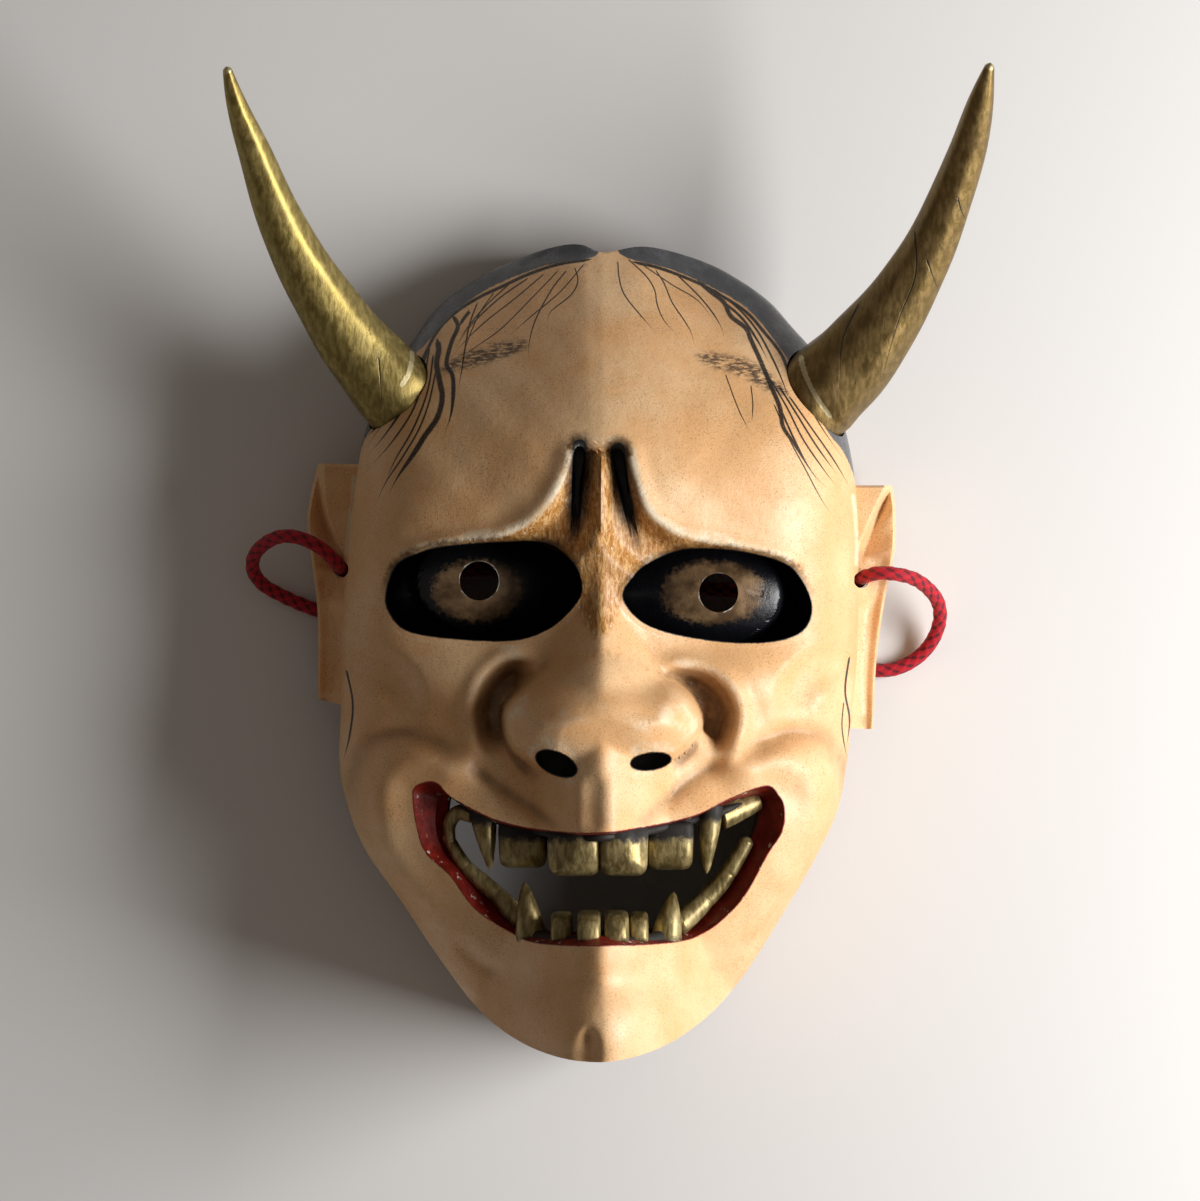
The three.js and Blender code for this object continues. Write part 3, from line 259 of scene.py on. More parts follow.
def inside_curve(x: Array, y: Array, curve: Array) -> Array:
    """Distance inside a closed curve, negative outside it."""
    within = np.zeros(np.shape(x), bool)
    for (ax, ay), (bx, by) in zip(curve, np.roll(curve, -1, 0)):
        if ay != by:
            within ^= ((ay > y) != (by > y)) & (x < (bx - ax) * (y - ay) / (by - ay) + ax)
    distance = np.abs(along_curve(x, y, np.vstack([curve, curve[:1]]))[0])
    return np.where(within, distance, -distance)


def fade_ends(share: Array, first: float, last: float) -> Array:
    """0 at both ends of a curve and 1 between the two shares of its length."""
    return ease(0, first, share) * (1 - ease(last, 1, share))


def along_line(x: Array, y: Array, line: Sequence[Point]) -> tuple[Array, Array]:
    """Signed distance to the smooth curve through a line of points, and the share of its length."""
    return along_curve(x, y, curve_through(line))


def fold_along(x: Array, y: Array, line: Sequence[Point], height: float, width: float,
               first: float, last: float) -> Array:
    """Rounded fold along a line: height * exp(-(d / width)^2), faded at its ends."""
    distance, share = along_line(x, y, line)
    return height * bell(distance, width) * fade_ends(share, first, last)


def from_centre(x: Array, y: Array) -> Array:
    """Distance from the centre of the head."""
    return np.hypot(x - DISC_CENTRE[0], y - DISC_CENTRE[1])


def mound(x: Array, y: Array, centre: Point, half: Point, height: float) -> Array:
    """Rounded rise: height * exp(-(dx / half width)^2 - (dy / half length)^2)."""
    return height * bell(np.hypot((x - centre[0]) / half[0], (y - centre[1]) / half[1]), 1)


def mirrored(line: Sequence[Point], side: int) -> list[Point]:
    """A line of the right half, or its mirror image where side is -1."""
    return [(px * side, py) for px, py in line]


@dataclass
class FaceForm:
    """Height of the carved face and of the hollow behind it, as functions of x and y in mm."""

    rim_width: float = 8.5
    wall: float = 13.0
    dome_power: float = 2.7
    hollow_power: float = 3.0
    ridge_x: float = 0.5
    ridge_slope: float = 0.25
    brow_step: float = 6.0
    brow_lip: float = 1.3
    cheekbone_step: float = 3.0
    smile_roll: Point = (3.8, 6.0)
    smile_groove: Point = (3.2, 3.0)
    nose_foot: float = 60.0
    nose_height: float = 24.8
    nose_round: float = 21.0
    nose_roof: Point = (0.17, 8.0)
    bridge_foot: float = 57.0
    groove_depth: float = 9.0
    groove_rim: float = 1.6
    lip_fold: float = 1.9
    philtrum_x: float = -1.3
    outline: Array = field(init=False)

    def __post_init__(self) -> None:
        """Works out the curves that the heights are measured from."""
        self.outline = curve_through(HEAD_OUTLINE, True)
        rays = self.outline - np.array(DISC_CENTRE)
        angle = np.arctan2(rays[:, 1], rays[:, 0])
        order = np.argsort(angle)
        turn = 2 * math.pi
        angle, reach = angle[order], np.hypot(rays[:, 0], rays[:, 1])[order]
        self._angles = np.concatenate([angle - turn, angle, angle + turn])
        self._reaches = np.tile(reach, 3)

    def reach(self, x: Array, y: Array) -> Array:
        """Distance from the centre of the head to its outline in the direction of a point."""
        return np.interp(np.arctan2(y - DISC_CENTRE[1], x - DISC_CENTRE[0]), self._angles, self._reaches)

    def height(self, x: Array, y: Array) -> Array:
        """Height of the carved face, without the eyes, slots, nostrils and mouth."""
        share = np.minimum(from_centre(x, y) / self.reach(x, y), 1.0)
        edge, middle = profile_at(EDGE_PROFILE, y), profile_at(MIDDLE_PROFILE, y)
        across = np.abs(x)
        z = edge + (middle - edge) * np.sqrt(np.maximum(1 - share**self.dome_power, 0))
        ridge = ease(-14, 6, y) * self.ridge_slope
        beside = ease(20, 60, across)
        z -= ridge * (np.hypot(x - self.ridge_x, 1) - 1) * (1 - beside) + ridge * 10.5 * beside
        z += mound(across, y, *FOREHEAD_MOUND) + mound(across, y, *CHEEK_MOUND)
        z += self._cheeks(x, y) + self._brows(x, y) + self._grooves(x, y)
        z = self._nose(x, y, z)
        return z + self._upper_lip(x, y) + self._chin(x, y)

    def _cheeks(self, x: Array, y: Array) -> Array:
        """Step under the cheekbones, the groove below it and the roll round the corner of the mouth."""
        change = np.zeros(np.shape(x))
        for side in (-1, 1):
            distance, share = along_line(x, y, mirrored(CHEEKBONE, side))
            above = -distance * side
            step = self.cheekbone_step * (1 - ease(-4, 2, above)) * (1 - ease(6, 13, np.abs(above)))
            roll = fold_along(x, y, mirrored(SMILE_ROLL, side), *self.smile_roll, 0.15, 0.7)
            groove = fold_along(x, y, mirrored(SMILE_GROOVE, side), *self.smile_groove, 0.2, 0.75)
            change += np.where(x * side > 0, roll - groove - step * fade_ends(share, 0.3, 0.65), 0.0)
        return change

    def _brows(self, x: Array, y: Array) -> Array:
        """Step under each brow line and the raised lip along it."""
        change = np.zeros(np.shape(x))
        for line in BROW_LINES:
            distance, share = along_line(x, y, line)
            ends = fade_ends(share, 0.12, 0.9)
            change -= self.brow_step * ease(0, 5, -distance) * (1 - ease(10, 16, -distance)) * ends
            change += self.brow_lip * bell(distance - 1, 2.2) * ends
        return change

    def _grooves(self, x: Array, y: Array) -> Array:
        """Crescent grooves round the sides of the nose, each with a raised outer rim."""
        change = np.zeros(np.shape(x))
        for line, turn in GROOVES:
            distance, share = along_line(x, y, line)
            inward = distance * turn
            ends = fade_ends(share, 0.22, 0.8)
            change -= self.groove_depth * ease(0, 5, inward) * (1 - ease(9, 13, inward)) * ends
            change += self.groove_rim * bell(inward + 1.2, 2.2) * ends
        return change

    def _nose(self, x: Array, y: Array, z: Array) -> Array:
        """Bridge and ball of the nose, joined softly to the face height z."""
        crest = profile_at(BRIDGE_CREST, y)
        slope = (np.abs(x - self.ridge_x) / profile_at(BRIDGE_HALF, y)) ** 1.5
        z = soft_max(z, crest - np.maximum(crest - self.bridge_foot, 8) * slope, 2)
        into = inside_curve(x, y, curve_through(NOSE_OUTLINE, True))
        rise = np.sqrt(1 - (1 - np.clip(into / self.nose_round, 0, 1)) ** 2.2)
        ball = self.nose_foot + self.nose_height * rise - 9 * ease(-15, -1, y)
        ball -= 9 * (1 - ease(-0.4, 2.2, into))
        fall, rounding = self.nose_roof
        ball -= fall * (np.hypot(x - self.ridge_x, rounding) - rounding)
        return np.where(into > -0.4, soft_max(z, ball, 1.2 + 7 * ease(-15, -3, y)), z)

    def _upper_lip(self, x: Array, y: Array) -> Array:
        """Folds from the nose to the upper lip, and the philtrum between two small ridges."""
        change = np.zeros(np.shape(x))
        for line in LIP_FOLDS:
            distance, share = along_line(x, y, line)
            change -= self.lip_fold * bell(distance, 2.2) * ease(0, 0.2, share)
        near = ease(30, 36, -y) * (1 - ease(44, 50, -y))
        across = x - self.philtrum_x
        return change + near * (0.9 * (bell(across + 4.5, 2.4) + bell(across - 4.5, 2.4)) - bell(across, 3))

    def _chin(self, x: Array, y: Array) -> Array:
        """Two lobes of the chin, the crease above them and the notch between them."""
        change = mound(np.abs(x), y, *CHIN_LOBES) + mound(x, y, *CHIN_HOLLOW)
        for line in CHIN_CREASES:
            change -= fold_along(x, y, line, 1.4, 2.4, 0.25, 0.7)
        distance, share = along_line(x, y, CHIN_NOTCH)
        return change - 2.6 * bell(distance, 0.7 + 2.6 * share) * ease(0, 0.5, share)

    def hollow(self, x: Array, y: Array) -> Array:
        """Height of the smooth hollow behind the face."""
        share = np.minimum(from_centre(x, y) / (self.reach(x, y) - self.rim_width), 1.0)
        depth = profile_at(MIDDLE_PROFILE, y) - self.wall - 19 * bell(y - 15, 26) - 6 * bell(y + 60, 26)
        return np.maximum(depth, 8) * np.sqrt(np.maximum(1 - share**self.hollow_power, 0))


# Closed solids


@dataclass
class Solid:
    """Closed mesh in mm: points and faces that look outward."""

    points: Array
    faces: Array

    def volume(self) -> float:
        """Signed volume of the triangles."""
        a, b, c = (self.points[self.faces[:, k]] for k in range(3))
        return float(np.einsum("ij,ij->", a, np.cross(b, c))) / 6

    def outward(self) -> "Solid":
        """The same solid with its triangles turned to look outward."""
        if self.volume() < 0:
            self.faces = self.faces[:, ::-1]
        return self


def solid_of_rings(rings: Array) -> Solid:
    """Closed solid from rings of equal length, with a fan at each end.

    Args:
        rings: array of rings x points x 3.
    Returns:
        The solid, in triangles.
    """
    count, sides = rings.shape[:2]
    points = np.vstack([rings.reshape(-1, 3), rings[0].mean(0), rings[-1].mean(0)])
    row, s = np.meshgrid(np.arange(count - 1), np.arange(sides), indexing="ij")
    a = (row * sides + s).ravel()
    b = (row * sides + (s + 1) % sides).ravel()
    s = np.arange(sides)
    after = (s + 1) % sides
    top = (count - 1) * sides
    low, high = np.full(sides, count * sides), np.full(sides, count * sides + 1)
    faces = np.vstack([
        np.stack([a, b, b + sides], 1), np.stack([a, b + sides, a + sides], 1),
        np.stack([low, after, s], 1), np.stack([high, top + s, top + after], 1),
    ])
    return Solid(points, faces).outward()


def disc_triangles(rings: int) -> Array:
    """Triangles of a disc whose ring number k has six times k points."""
    start = [0] + [1 + CORNERS_OF_DISC * k * (k - 1) // 2 for k in range(1, rings + 1)]
    found = []
    for k in range(1, rings + 1):
        sector, i = np.divmod(np.arange(CORNERS_OF_DISC * k), k)
        outer, inner = CORNERS_OF_DISC * k, max(CORNERS_OF_DISC * (k - 1), 1)
        o = start[k] + (sector * k + i) % outer
        after = start[k] + (sector * k + i + 1) % outer
        n = start[k - 1] + (sector * (k - 1) + i) % inner
        found.append(np.stack([n, o, after], 1))
        inside = i < k - 1
        m = start[k - 1] + (sector * (k - 1) + i + 1) % inner
        found.append(np.stack([n, after, m], 1)[inside])
    return np.vstack(found)


def disc_shares(rings: int) -> tuple[Array, Array]:
    """Ring share and turn share of each point of that disc."""
    ring, turn = [np.zeros(1)], [np.zeros(1)]
    for k in range(1, rings + 1):
        ring.append(np.full(CORNERS_OF_DISC * k, k / rings))
        turn.append(np.arange(CORNERS_OF_DISC * k) / (CORNERS_OF_DISC * k))
    return np.concatenate(ring), np.concatenate(turn)


def dome_solid(rings: int, top: Array, floor: Array) -> Solid:
    """Closed solid: a disc surface on top, walls down from its edge and a flat floor.

    Args:
        rings: rings of the disc.
        top: points of the disc, centre first.
        floor: points under the last ring.
    Returns:
        The solid.
    """
    sides = CORNERS_OF_DISC * rings
    edge, first = len(top) - sides, len(top)
    points = np.vstack([top, floor, [[*DISC_CENTRE, floor[0, 2]]]])
    s = np.arange(sides)
    after = (s + 1) % sides
    middle = np.full(sides, first + sides)
    faces = np.vstack([
        disc_triangles(rings),
        np.stack([edge + s, first + s, first + after], 1),
        np.stack([edge + s, first + after, edge + after], 1),
        np.stack([middle, first + after, first + s], 1),
    ])
    return Solid(points, faces).outward()


def level(outline: Array, height: float) -> Array:
    """Points of an outline in x and y, all at one height."""
    return np.column_stack([outline, np.full(len(outline), height)])


def column(outline: Array, low: float, high: float) -> Solid:
    """Upright column on an outline in x and y."""
    return solid_of_rings(np.stack([level(outline, z) for z in (low, high)]))


def ellipse(centre: Point, half: Point, turn: float, sides: int) -> Array:
    """Outline of an ellipse turned about its centre."""
    angle = np.arange(sides) / sides * 2 * math.pi
    u, v = half[0] * np.cos(angle), half[1] * np.sin(angle)
    c, s = math.cos(turn), math.sin(turn)
    return np.stack([centre[0] + u * c - v * s, centre[1] + u * s + v * c], 1)


def frames_along(curve: Array) -> tuple[Array, Array, Array]:
    """Tangent, normal and across vectors along a line of points, carried without twist."""
    tangent = np.gradient(curve, axis=0)
    tangent /= np.linalg.norm(tangent, axis=1, keepdims=True)
    normal = np.zeros_like(curve)
    last = np.array([0.0, 0.0, 1.0])
    for i, t in enumerate(tangent):
        last = last - last.dot(t) * t
        last = last / np.linalg.norm(last)
        normal[i] = last
    return tangent, normal, np.cross(tangent, normal)


def tube_rings(curve: Array, radius: Array, sides: int) -> Array:
    """Rings of a round bar.

    Args:
        curve: centre line, points x 3.
        radius: radius at each point, or points x sides for a relief.
        sides: points of each ring.
    Returns:
        rings x sides x 3.
    """
    _, normal, across = frames_along(curve)
    angle = np.arange(sides) / sides * 2 * math.pi
    radius = np.broadcast_to(radius[:, None] if radius.ndim == 1 else radius, (len(curve), sides))
    return (curve[:, None, :] + (radius * np.cos(angle))[..., None] * normal[:, None, :]
            + (radius * np.sin(angle))[..., None] * across[:, None, :])


# Finishes


def linear(hex_colour: str) -> tuple[float, float, float, float]:
    """sRGB hex colour as linear values with alpha 1."""
    values = [int(hex_colour[k:k + 2], 16) / 255 for k in (1, 3, 5)]
    red, green, blue = (v / 12.92 if v <= 0.04045 else ((v + 0.055) / 1.055) ** 2.4 for v in values)
    return red, green, blue, 1.0


Socket = bpy.types.NodeSocket
Value = float | tuple | str | Socket


class Shader:
    """Node tree of one material, written as calls that return sockets."""

    def __init__(self, name: str) -> None:
        """Starts an empty material with a surface shader and its output."""
        self.material = bpy.data.materials.new(name)
        self.material.use_nodes = True
        self.tree = self.material.node_tree
        self.tree.nodes.clear()
        output = self.tree.nodes.new("ShaderNodeOutputMaterial")
        self.surface = self.tree.nodes.new("ShaderNodeBsdfPrincipled")
        self.tree.links.new(self.surface.outputs[0], output.inputs["Surface"])
        self.coordinates = self.node("ShaderNodeTexCoord").outputs["Object"]

    def node(self, kind: str, settings: dict | None = None, inputs: dict | None = None) -> bpy.types.Node:
        """Adds a node with settings, and sets or links its inputs by name or number."""
        made = self.tree.nodes.new(kind)
        for key, value in (settings or {}).items():
            setattr(made, key, value)
        for key, value in (inputs or {}).items():
            self.put(made.inputs[key], value)
        return made

    def put(self, socket: Socket, value: Value) -> None:
        """Links a socket, or sets a constant on the socket itself."""
        if isinstance(value, bpy.types.NodeSocket):
            self.tree.links.new(value, socket)
        else:
            socket.default_value = value

    def set(self, **inputs: Value) -> None:
        """Sets inputs of the surface shader; an underscore stands for a space."""
        for key, value in inputs.items():
            self.put(self.surface.inputs[key.replace("_", " ")], value)

    def math(self, operation: str, a: Value, b: Value = 0.0) -> Socket:
        """One arithmetic step."""
        return self.node("ShaderNodeMath", {"operation": operation}, {0: a, 1: b}).outputs[0]

    def times(self, a: Value, b: Value) -> Socket:
        """a * b."""
        return self.math("MULTIPLY", a, b)

    def plus(self, a: Value, b: Value) -> Socket:
        """a + b."""
        return self.math("ADD", a, b)

    def minus(self, a: Value, b: Value) -> Socket:
        """a - b."""
        return self.math("SUBTRACT", a, b)

    def ragged(self, value: Value, pattern: Socket, amount: float) -> Socket:
        """A stored distance whose border a pattern makes uneven: value + pattern * amount."""
        return self.plus(value, self.times(pattern, amount))

    def step(self, value: Value, low: float, high: float, start: float = 0.0, end: float = 1.0) -> Socket:
        """Smooth step of a value from low to high."""
        return self.node("ShaderNodeMapRange", {"interpolation_type": "SMOOTHSTEP"}, {
            "Value": value, "From Min": low, "From Max": high, "To Min": start, "To Max": end}).outputs[0]

    def mix(self, share: Value, first: Value, second: Value) -> Socket:
        """Colour between first and second."""
        made = self.node("ShaderNodeMix", {"data_type": "RGBA"})
        for socket, value in zip((made.inputs[0], made.inputs[6], made.inputs[7]), (share, first, second)):
            self.put(socket, linear(value) if isinstance(value, str) else value)
        return made.outputs[2]

    def stretched(self, scale: Point) -> Socket:
        """Coordinates multiplied by a scale on each axis."""
        return self.node("ShaderNodeVectorMath", {"operation": "MULTIPLY"}, {
            0: self.coordinates, 1: scale}).outputs[0]

    def noise(self, scale: float, detail: float = 4.0, rough: float = 0.55, source: Socket | None = None,
              distortion: float = 0.0) -> Socket:
        """Cloudy pattern with the given number of features per metre."""
        return self.node("ShaderNodeTexNoise", {}, {
            "Vector": source or self.coordinates, "Scale": scale, "Detail": detail, "Roughness": rough,
            "Distortion": distortion}).outputs["Fac"]

    def layer(self, name: str) -> tuple[Socket, Socket, Socket]:
        """Three stored values of the mesh."""
        stored = self.node("ShaderNodeAttribute", {"attribute_name": name}).outputs["Vector"]
        parts = self.node("ShaderNodeSeparateXYZ", {}, {0: stored})
        return parts.outputs[0], parts.outputs[1], parts.outputs[2]

    def bump(self, height: Socket, distance: float, strength: float) -> None:
        """Fine relief from a height pattern, distance in metres."""
        self.set(Normal=self.node("ShaderNodeBump", {}, {
            "Height": height, "Distance": distance, "Strength": strength}).outputs[0])


class PaintNoise:
    """Patterns that the layers of paint share."""

    def __init__(self, s: Shader) -> None:
        """Adds the patterns to a shader."""
        self.mottle = s.noise(260, 5, 0.65)
        self.fine = s.noise(2300, 3, 0.6)
        self.grain = s.noise(90, 4, 0.6, s.stretched((1.0, 0.25, 1.0)))
        self.edge = s.minus(s.noise(700, 4, 0.65), 0.5)
        self.patch = s.noise(110, 5, 0.7)


@dataclass(frozen=True)
class PaintedWood:
    """Flesh-coloured paint over white ground, with painted hair, lips and eyes, worn and speckled, with
    painted shade in its grooves, creases and holes.
    """

    flesh: str = "#E4B17B"
    flesh_light: str = "#EBC495"
    flesh_warm: str = "#D3A067"
    worn: str = "#F0E2C6"
    # Painted shade: the brown laid into the grooves and creases
    groove_shade: str = "#5F3E1E"
    speckle: str = "#6B431F"
    hair: str = "#4E5054"
    hair_light: str = "#6C6E72"
    ink: str = "#141212"
    smudge: str = "#2E2420"
    lips: str = "#6E160F"
    lips_light: str = "#96281A"
    wash: str = "#A86F2A"
    wash_light: str = "#DDB47C"
    wash_dark: str = "#55340F"
    gold: str = "#55402A"
    gold_light: str = "#917453"
    black: str = "#101116"
    chip: str = "#E9E4D8"
    bare: str = "#4A2F1C"
    bare_light: str = "#6A462C"
    hair_worn: str = "#8A7A66"
    lips_painted_shade: str = "#240A08"
    # Painted shade for the walls of the mouth opening
    mouth: str = "#1E1518"
    lid: str = "#8C6A3A"
    # Painted shade for the walls of the pupil holes
    pupil: str = "#1E0C0C"
    # Painted shade for the nostril holes
    nostril: str = "#120C09"
    stroke_layers: int = 7

    def material(self) -> bpy.types.Material:
        """Builds the material; the mesh carries the distances that the borders are drawn from."""
        s = Shader("painted_wood")
        noise = PaintNoise(s)
        hair, lips, mouth = s.layer("areas_a")
        eye, pupil, wash = s.layer("areas_b")
        smudge, crest, back = s.layer("areas_c")
        gilt, nostril, slot = s.layer("areas_d")
        brow, upper, shade = s.layer("areas_e")
        wear = s.ragged(crest, s.minus(noise.mottle, 0.5), 0.5)
        worn_in = s.times(s.step(wear, 0.22, 0.5), s.step(noise.patch, 0.42, 0.6, 0.25, 1.0))
        hair_in = s.step(s.ragged(hair, noise.edge, 0.7), -0.1, 0.25)

        colour = self._smudge(s, noise, self._flesh(s, noise), smudge)
        # Painted shade: darker brown in the grooves, where the relief is negative
        cavity_shade = s.times(s.step(crest, -0.08, -0.6), s.step(noise.mottle, 0.25, 0.6, 0.35, 1.0))
        colour = s.mix(s.times(cavity_shade, 0.6), colour, self.groove_shade)
        # Painted shade along the crescent grooves, the lip folds and the smile creases
        colour = s.mix(s.times(shade, s.step(noise.mottle, 0.2, 0.7, 0.5, 0.72)), colour, self.groove_shade)
        colour = s.mix(s.times(worn_in, 0.6), colour, self.worn)
        colour = self._wash(s, noise, colour, wash)
        # Black paint of the frown slots, spread a few millimetres past them as painted shade
        slot_black_and_shade = s.step(s.ragged(slot, noise.edge, 3.0), -3.4, 0.2)
        colour = s.mix(s.times(slot_black_and_shade, 0.9), colour, self.black)
        # Pale lines along the brow lips, where the paint is rubbed, and along the temples
        rubbed = s.times(s.step(brow, 1.3, 0.2), s.step(noise.patch, 0.36, 0.52, 0.3, 1.0))
        colour = s.mix(s.times(rubbed, 0.85), colour, self.worn)
        colour = s.mix(self._strokes(s, noise.fine), colour, self.ink)
        colour = s.mix(hair_in, colour, self._hair(s))
        lip_in = s.step(s.ragged(lips, noise.edge, 0.5), -0.4, -0.1)
        colour = s.mix(lip_in, colour, self._lips(s, lips, mouth))
        # Painted shade: dark purple-black on the walls of the mouth opening
        colour = s.mix(s.step(mouth, -0.2, 0.1), colour, self.mouth)
        lid_in = s.times(s.step(s.ragged(eye, noise.edge, 3.2), -2.3, -0.5), upper)
        lid_colour = s.mix(s.step(noise.mottle, 0.42, 0.62), self.wash_dark, self.lid)
        colour = s.mix(s.times(lid_in, 0.9), colour, lid_colour)
        eye_in = s.step(s.ragged(eye, noise.edge, 0.5), -0.4, -0.05)
        colour = s.mix(eye_in, colour, self._eye(s, noise, gilt, pupil))
        colour = s.mix(s.step(slot, -0.35, -0.05), colour, self.black)
        # Painted shade: near-black in and just round the nostril holes
        colour = s.mix(s.step(s.ragged(nostril, noise.edge, 0.5), -0.5, -0.1), colour, self.nostril)
        rings = s.noise(160, 5, 0.6, s.stretched((1.0, 0.12, 1.0)))
        colour = s.mix(back, colour, s.mix(s.step(rings, 0.35, 0.7), self.bare, self.bare_light))

        rough = s.minus(s.step(noise.mottle, 0.3, 0.75, 0.36, 0.55), s.times(s.step(eye, 0.0, 0.5), 0.12))
        rough = s.minus(rough, s.times(hair_in, 0.12))
        s.set(Base_Color=colour, Roughness=rough, Specular_IOR_Level=0.45)
        height = s.ragged(s.times(noise.fine, 0.22), noise.mottle, 0.7)
        height = s.minus(height, s.times(worn_in, 0.4))
        s.bump(s.ragged(height, noise.grain, 0.6), 0.00035, 0.75)
        return s.material

    def _flesh(self, s: Shader, noise: PaintNoise) -> Socket:
        """Clouded flesh colour with a fine brown speckle."""
        colour = s.mix(s.step(s.noise(45, 3), 0.35, 0.68), self.flesh, self.flesh_light)
        colour = s.mix(s.times(s.step(noise.mottle, 0.5, 0.78), 0.35), colour, self.flesh_warm)
        colour = s.mix(s.times(s.step(noise.grain, 0.5, 0.8), 0.2), colour, self.flesh_light)
        amount = s.step(s.noise(70, 3), 0.35, 0.65, 0.42, 0.78)
        return s.mix(s.times(s.step(noise.fine, 0.5, 0.78), amount), colour, self.speckle)

    def _smudge(self, s: Shader, noise: PaintNoise, colour: Socket, smudge: Socket) -> Socket:
        """High brows rubbed on with a nearly dry brush."""
        rub = s.step(s.noise(1.0, 4, 0.7, s.stretched((420, 1500, 600))), 0.38, 0.56)
        inside = s.step(s.ragged(smudge, noise.edge, 3.0), -1.6, 0.9)
        return s.mix(s.times(s.times(inside, rub), 0.88), colour, self.smudge)

    def _wash(self, s: Shader, noise: PaintNoise, colour: Socket, wash: Socket) -> Socket:
        """Streaky brown wash on the bridge of the nose and under the brows, with pale chips."""
        streaks = s.noise(1.0, 5, 0.7, s.stretched((1300, 300, 500)), 0.8)
        brown = s.mix(s.step(streaks, 0.42, 0.64), self.wash, self.wash_light)
        brown = s.mix(s.step(streaks, 0.42, 0.30), brown, self.wash_dark)
        chipped = s.times(s.step(s.noise(420, 5, 0.75), 0.62, 0.68), 0.9)
        inside = s.step(s.ragged(wash, noise.edge, 3.0), -1.6, 0.8)
        return s.mix(s.times(inside, 0.95), colour, s.mix(chipped, brown, self.chip))

    def _hair(self, s: Shader) -> Socket:
        """Grey-black hair with long strands and a few worn spots."""
        strand = s.noise(160, 4, 0.6, s.stretched((1.0, 0.3, 1.0)))
        colour = s.mix(s.step(strand, 0.42, 0.7), self.hair, self.hair_light)
        worn = s.times(s.step(s.noise(420, 5, 0.7), 0.68, 0.76), 0.25)
        return s.mix(worn, colour, self.hair_worn)

    def _lips(self, s: Shader, lips: Socket, mouth: Socket) -> Socket:
        """Dark red lips, chipped near their edge, with painted shade that makes them nearly black toward
        the mouth.
        """
        colour = s.mix(s.step(s.noise(240, 5, 0.65), 0.4, 0.7), self.lips, self.lips_light)
        # Painted shade: the red turns nearly black toward the mouth opening
        colour = s.mix(s.step(mouth, -0.8, -0.1), colour, self.lips_painted_shade)
        chips = s.times(s.step(s.noise(300, 4, 0.75), 0.62, 0.65), s.step(lips, 2.6, 0.2))
        return s.mix(chips, colour, self.chip)

    def _strokes(self, s: Shader, fine: Socket) -> Socket:
        """Brushed hairs: each stored value is the distance from a stroke over its half width."""
        total: Value = 0.0
        wobble = s.times(s.minus(fine, 0.5), 0.9)
        for k in range(self.stroke_layers):
            for value in s.layer(f"strokes_{k}"):
                near = s.plus(s.math("ABSOLUTE", value), wobble)
                total = s.math("MAXIMUM", total, s.step(near, 1.25, 0.7))
        return s.times(total, s.step(fine, 0.2, 0.5, 0.72, 0.97))

    def _eye(self, s: Shader, noise: PaintNoise, gilt: Socket, pupil: Socket) -> Socket:
        """Black eye with a gold ball and a chipped white rim round the pupil, and painted shade, a dark
        red-black, on the wall of the pupil hole.
        """
        gold = s.mix(s.step(s.noise(150, 4, 0.6), 0.35, 0.7), self.gold, self.gold_light)
        share = s.step(s.ragged(gilt, noise.edge, 5.0), -0.9, 1.3)
        colour = s.mix(s.times(share, 0.92), self.black, gold)
        broken = s.step(s.noise(190, 2, 0.5), 0.46, 0.56)
        rim = s.step(s.ragged(pupil, noise.edge, 0.9), 0.34, 0.06)
        colour = s.mix(s.times(rim, broken), colour, self.chip)
        return s.mix(s.step(pupil, 0.06, -0.02), colour, self.pupil)


@dataclass(frozen=True)
class GildedWood:
    """Gold paint brushed over wood, worn through on the edges and dark in the cracks."""

    name: str = "gilded_wood"
    gold: str = "#85753F"
    gold_light: str = "#AA975D"
    brown: str = "#6E5A32"
    dark: str = "#16110C"
    worn: str = "#DCCFA6"
    metal: Point = (0.72, 0.94)
    rough: Point = (0.38, 0.52)

    def material(self) -> bpy.types.Material:
        """Builds the material; the mesh stores cracks, wear and the distance from the root."""
        s = Shader(self.name)
        crack, wear, root = s.layer("gilding")
        streak = s.noise(1.0, 4, 0.6, s.stretched((800, 260, 380)), 0.4)
        mottle = s.noise(150, 4, 0.6)
        worn_in = s.step(s.ragged(wear, s.minus(mottle, 0.5), 1.0), 0.4, 0.7)
        crack_in = s.step(s.ragged(s.math("ABSOLUTE", crack), s.noise(1400, 3, 0.6), 0.5), 1.3, 0.6)
        root_in = s.step(s.ragged(root, s.minus(s.noise(420, 4, 0.75), 0.5), 5.0), 1.4, -0.8)
        colour = s.mix(s.step(streak, 0.36, 0.68), self.gold, self.gold_light)
        for share, over in (
            (s.times(s.step(mottle, 0.52, 0.74), 0.25), self.brown),
            (s.times(s.step(s.noise(70, 4, 0.6), 0.56, 0.68), 0.2), self.brown),
            (s.times(s.step(s.noise(800, 3, 0.6), 0.70, 0.75), 0.4), self.dark),
            (s.times(worn_in, 0.7), self.worn), (crack_in, self.dark), (root_in, self.dark),
        ):
            colour = s.mix(share, colour, over)
        bright = s.minus(1.0, s.math("MAXIMUM", crack_in, root_in))
        metal = s.times(s.step(mottle, 0.62, 0.4, *self.metal), bright)
        rough = s.ragged(s.step(streak, 0.3, 0.8, *self.rough), root_in, 0.3)
        s.set(Base_Color=colour, Metallic=metal, Roughness=rough)
        height = s.ragged(s.times(streak, 0.6), mottle, 0.9)
        s.bump(s.minus(height, s.times(crack_in, 1.5)), 0.0004, 0.3)
        return s.material


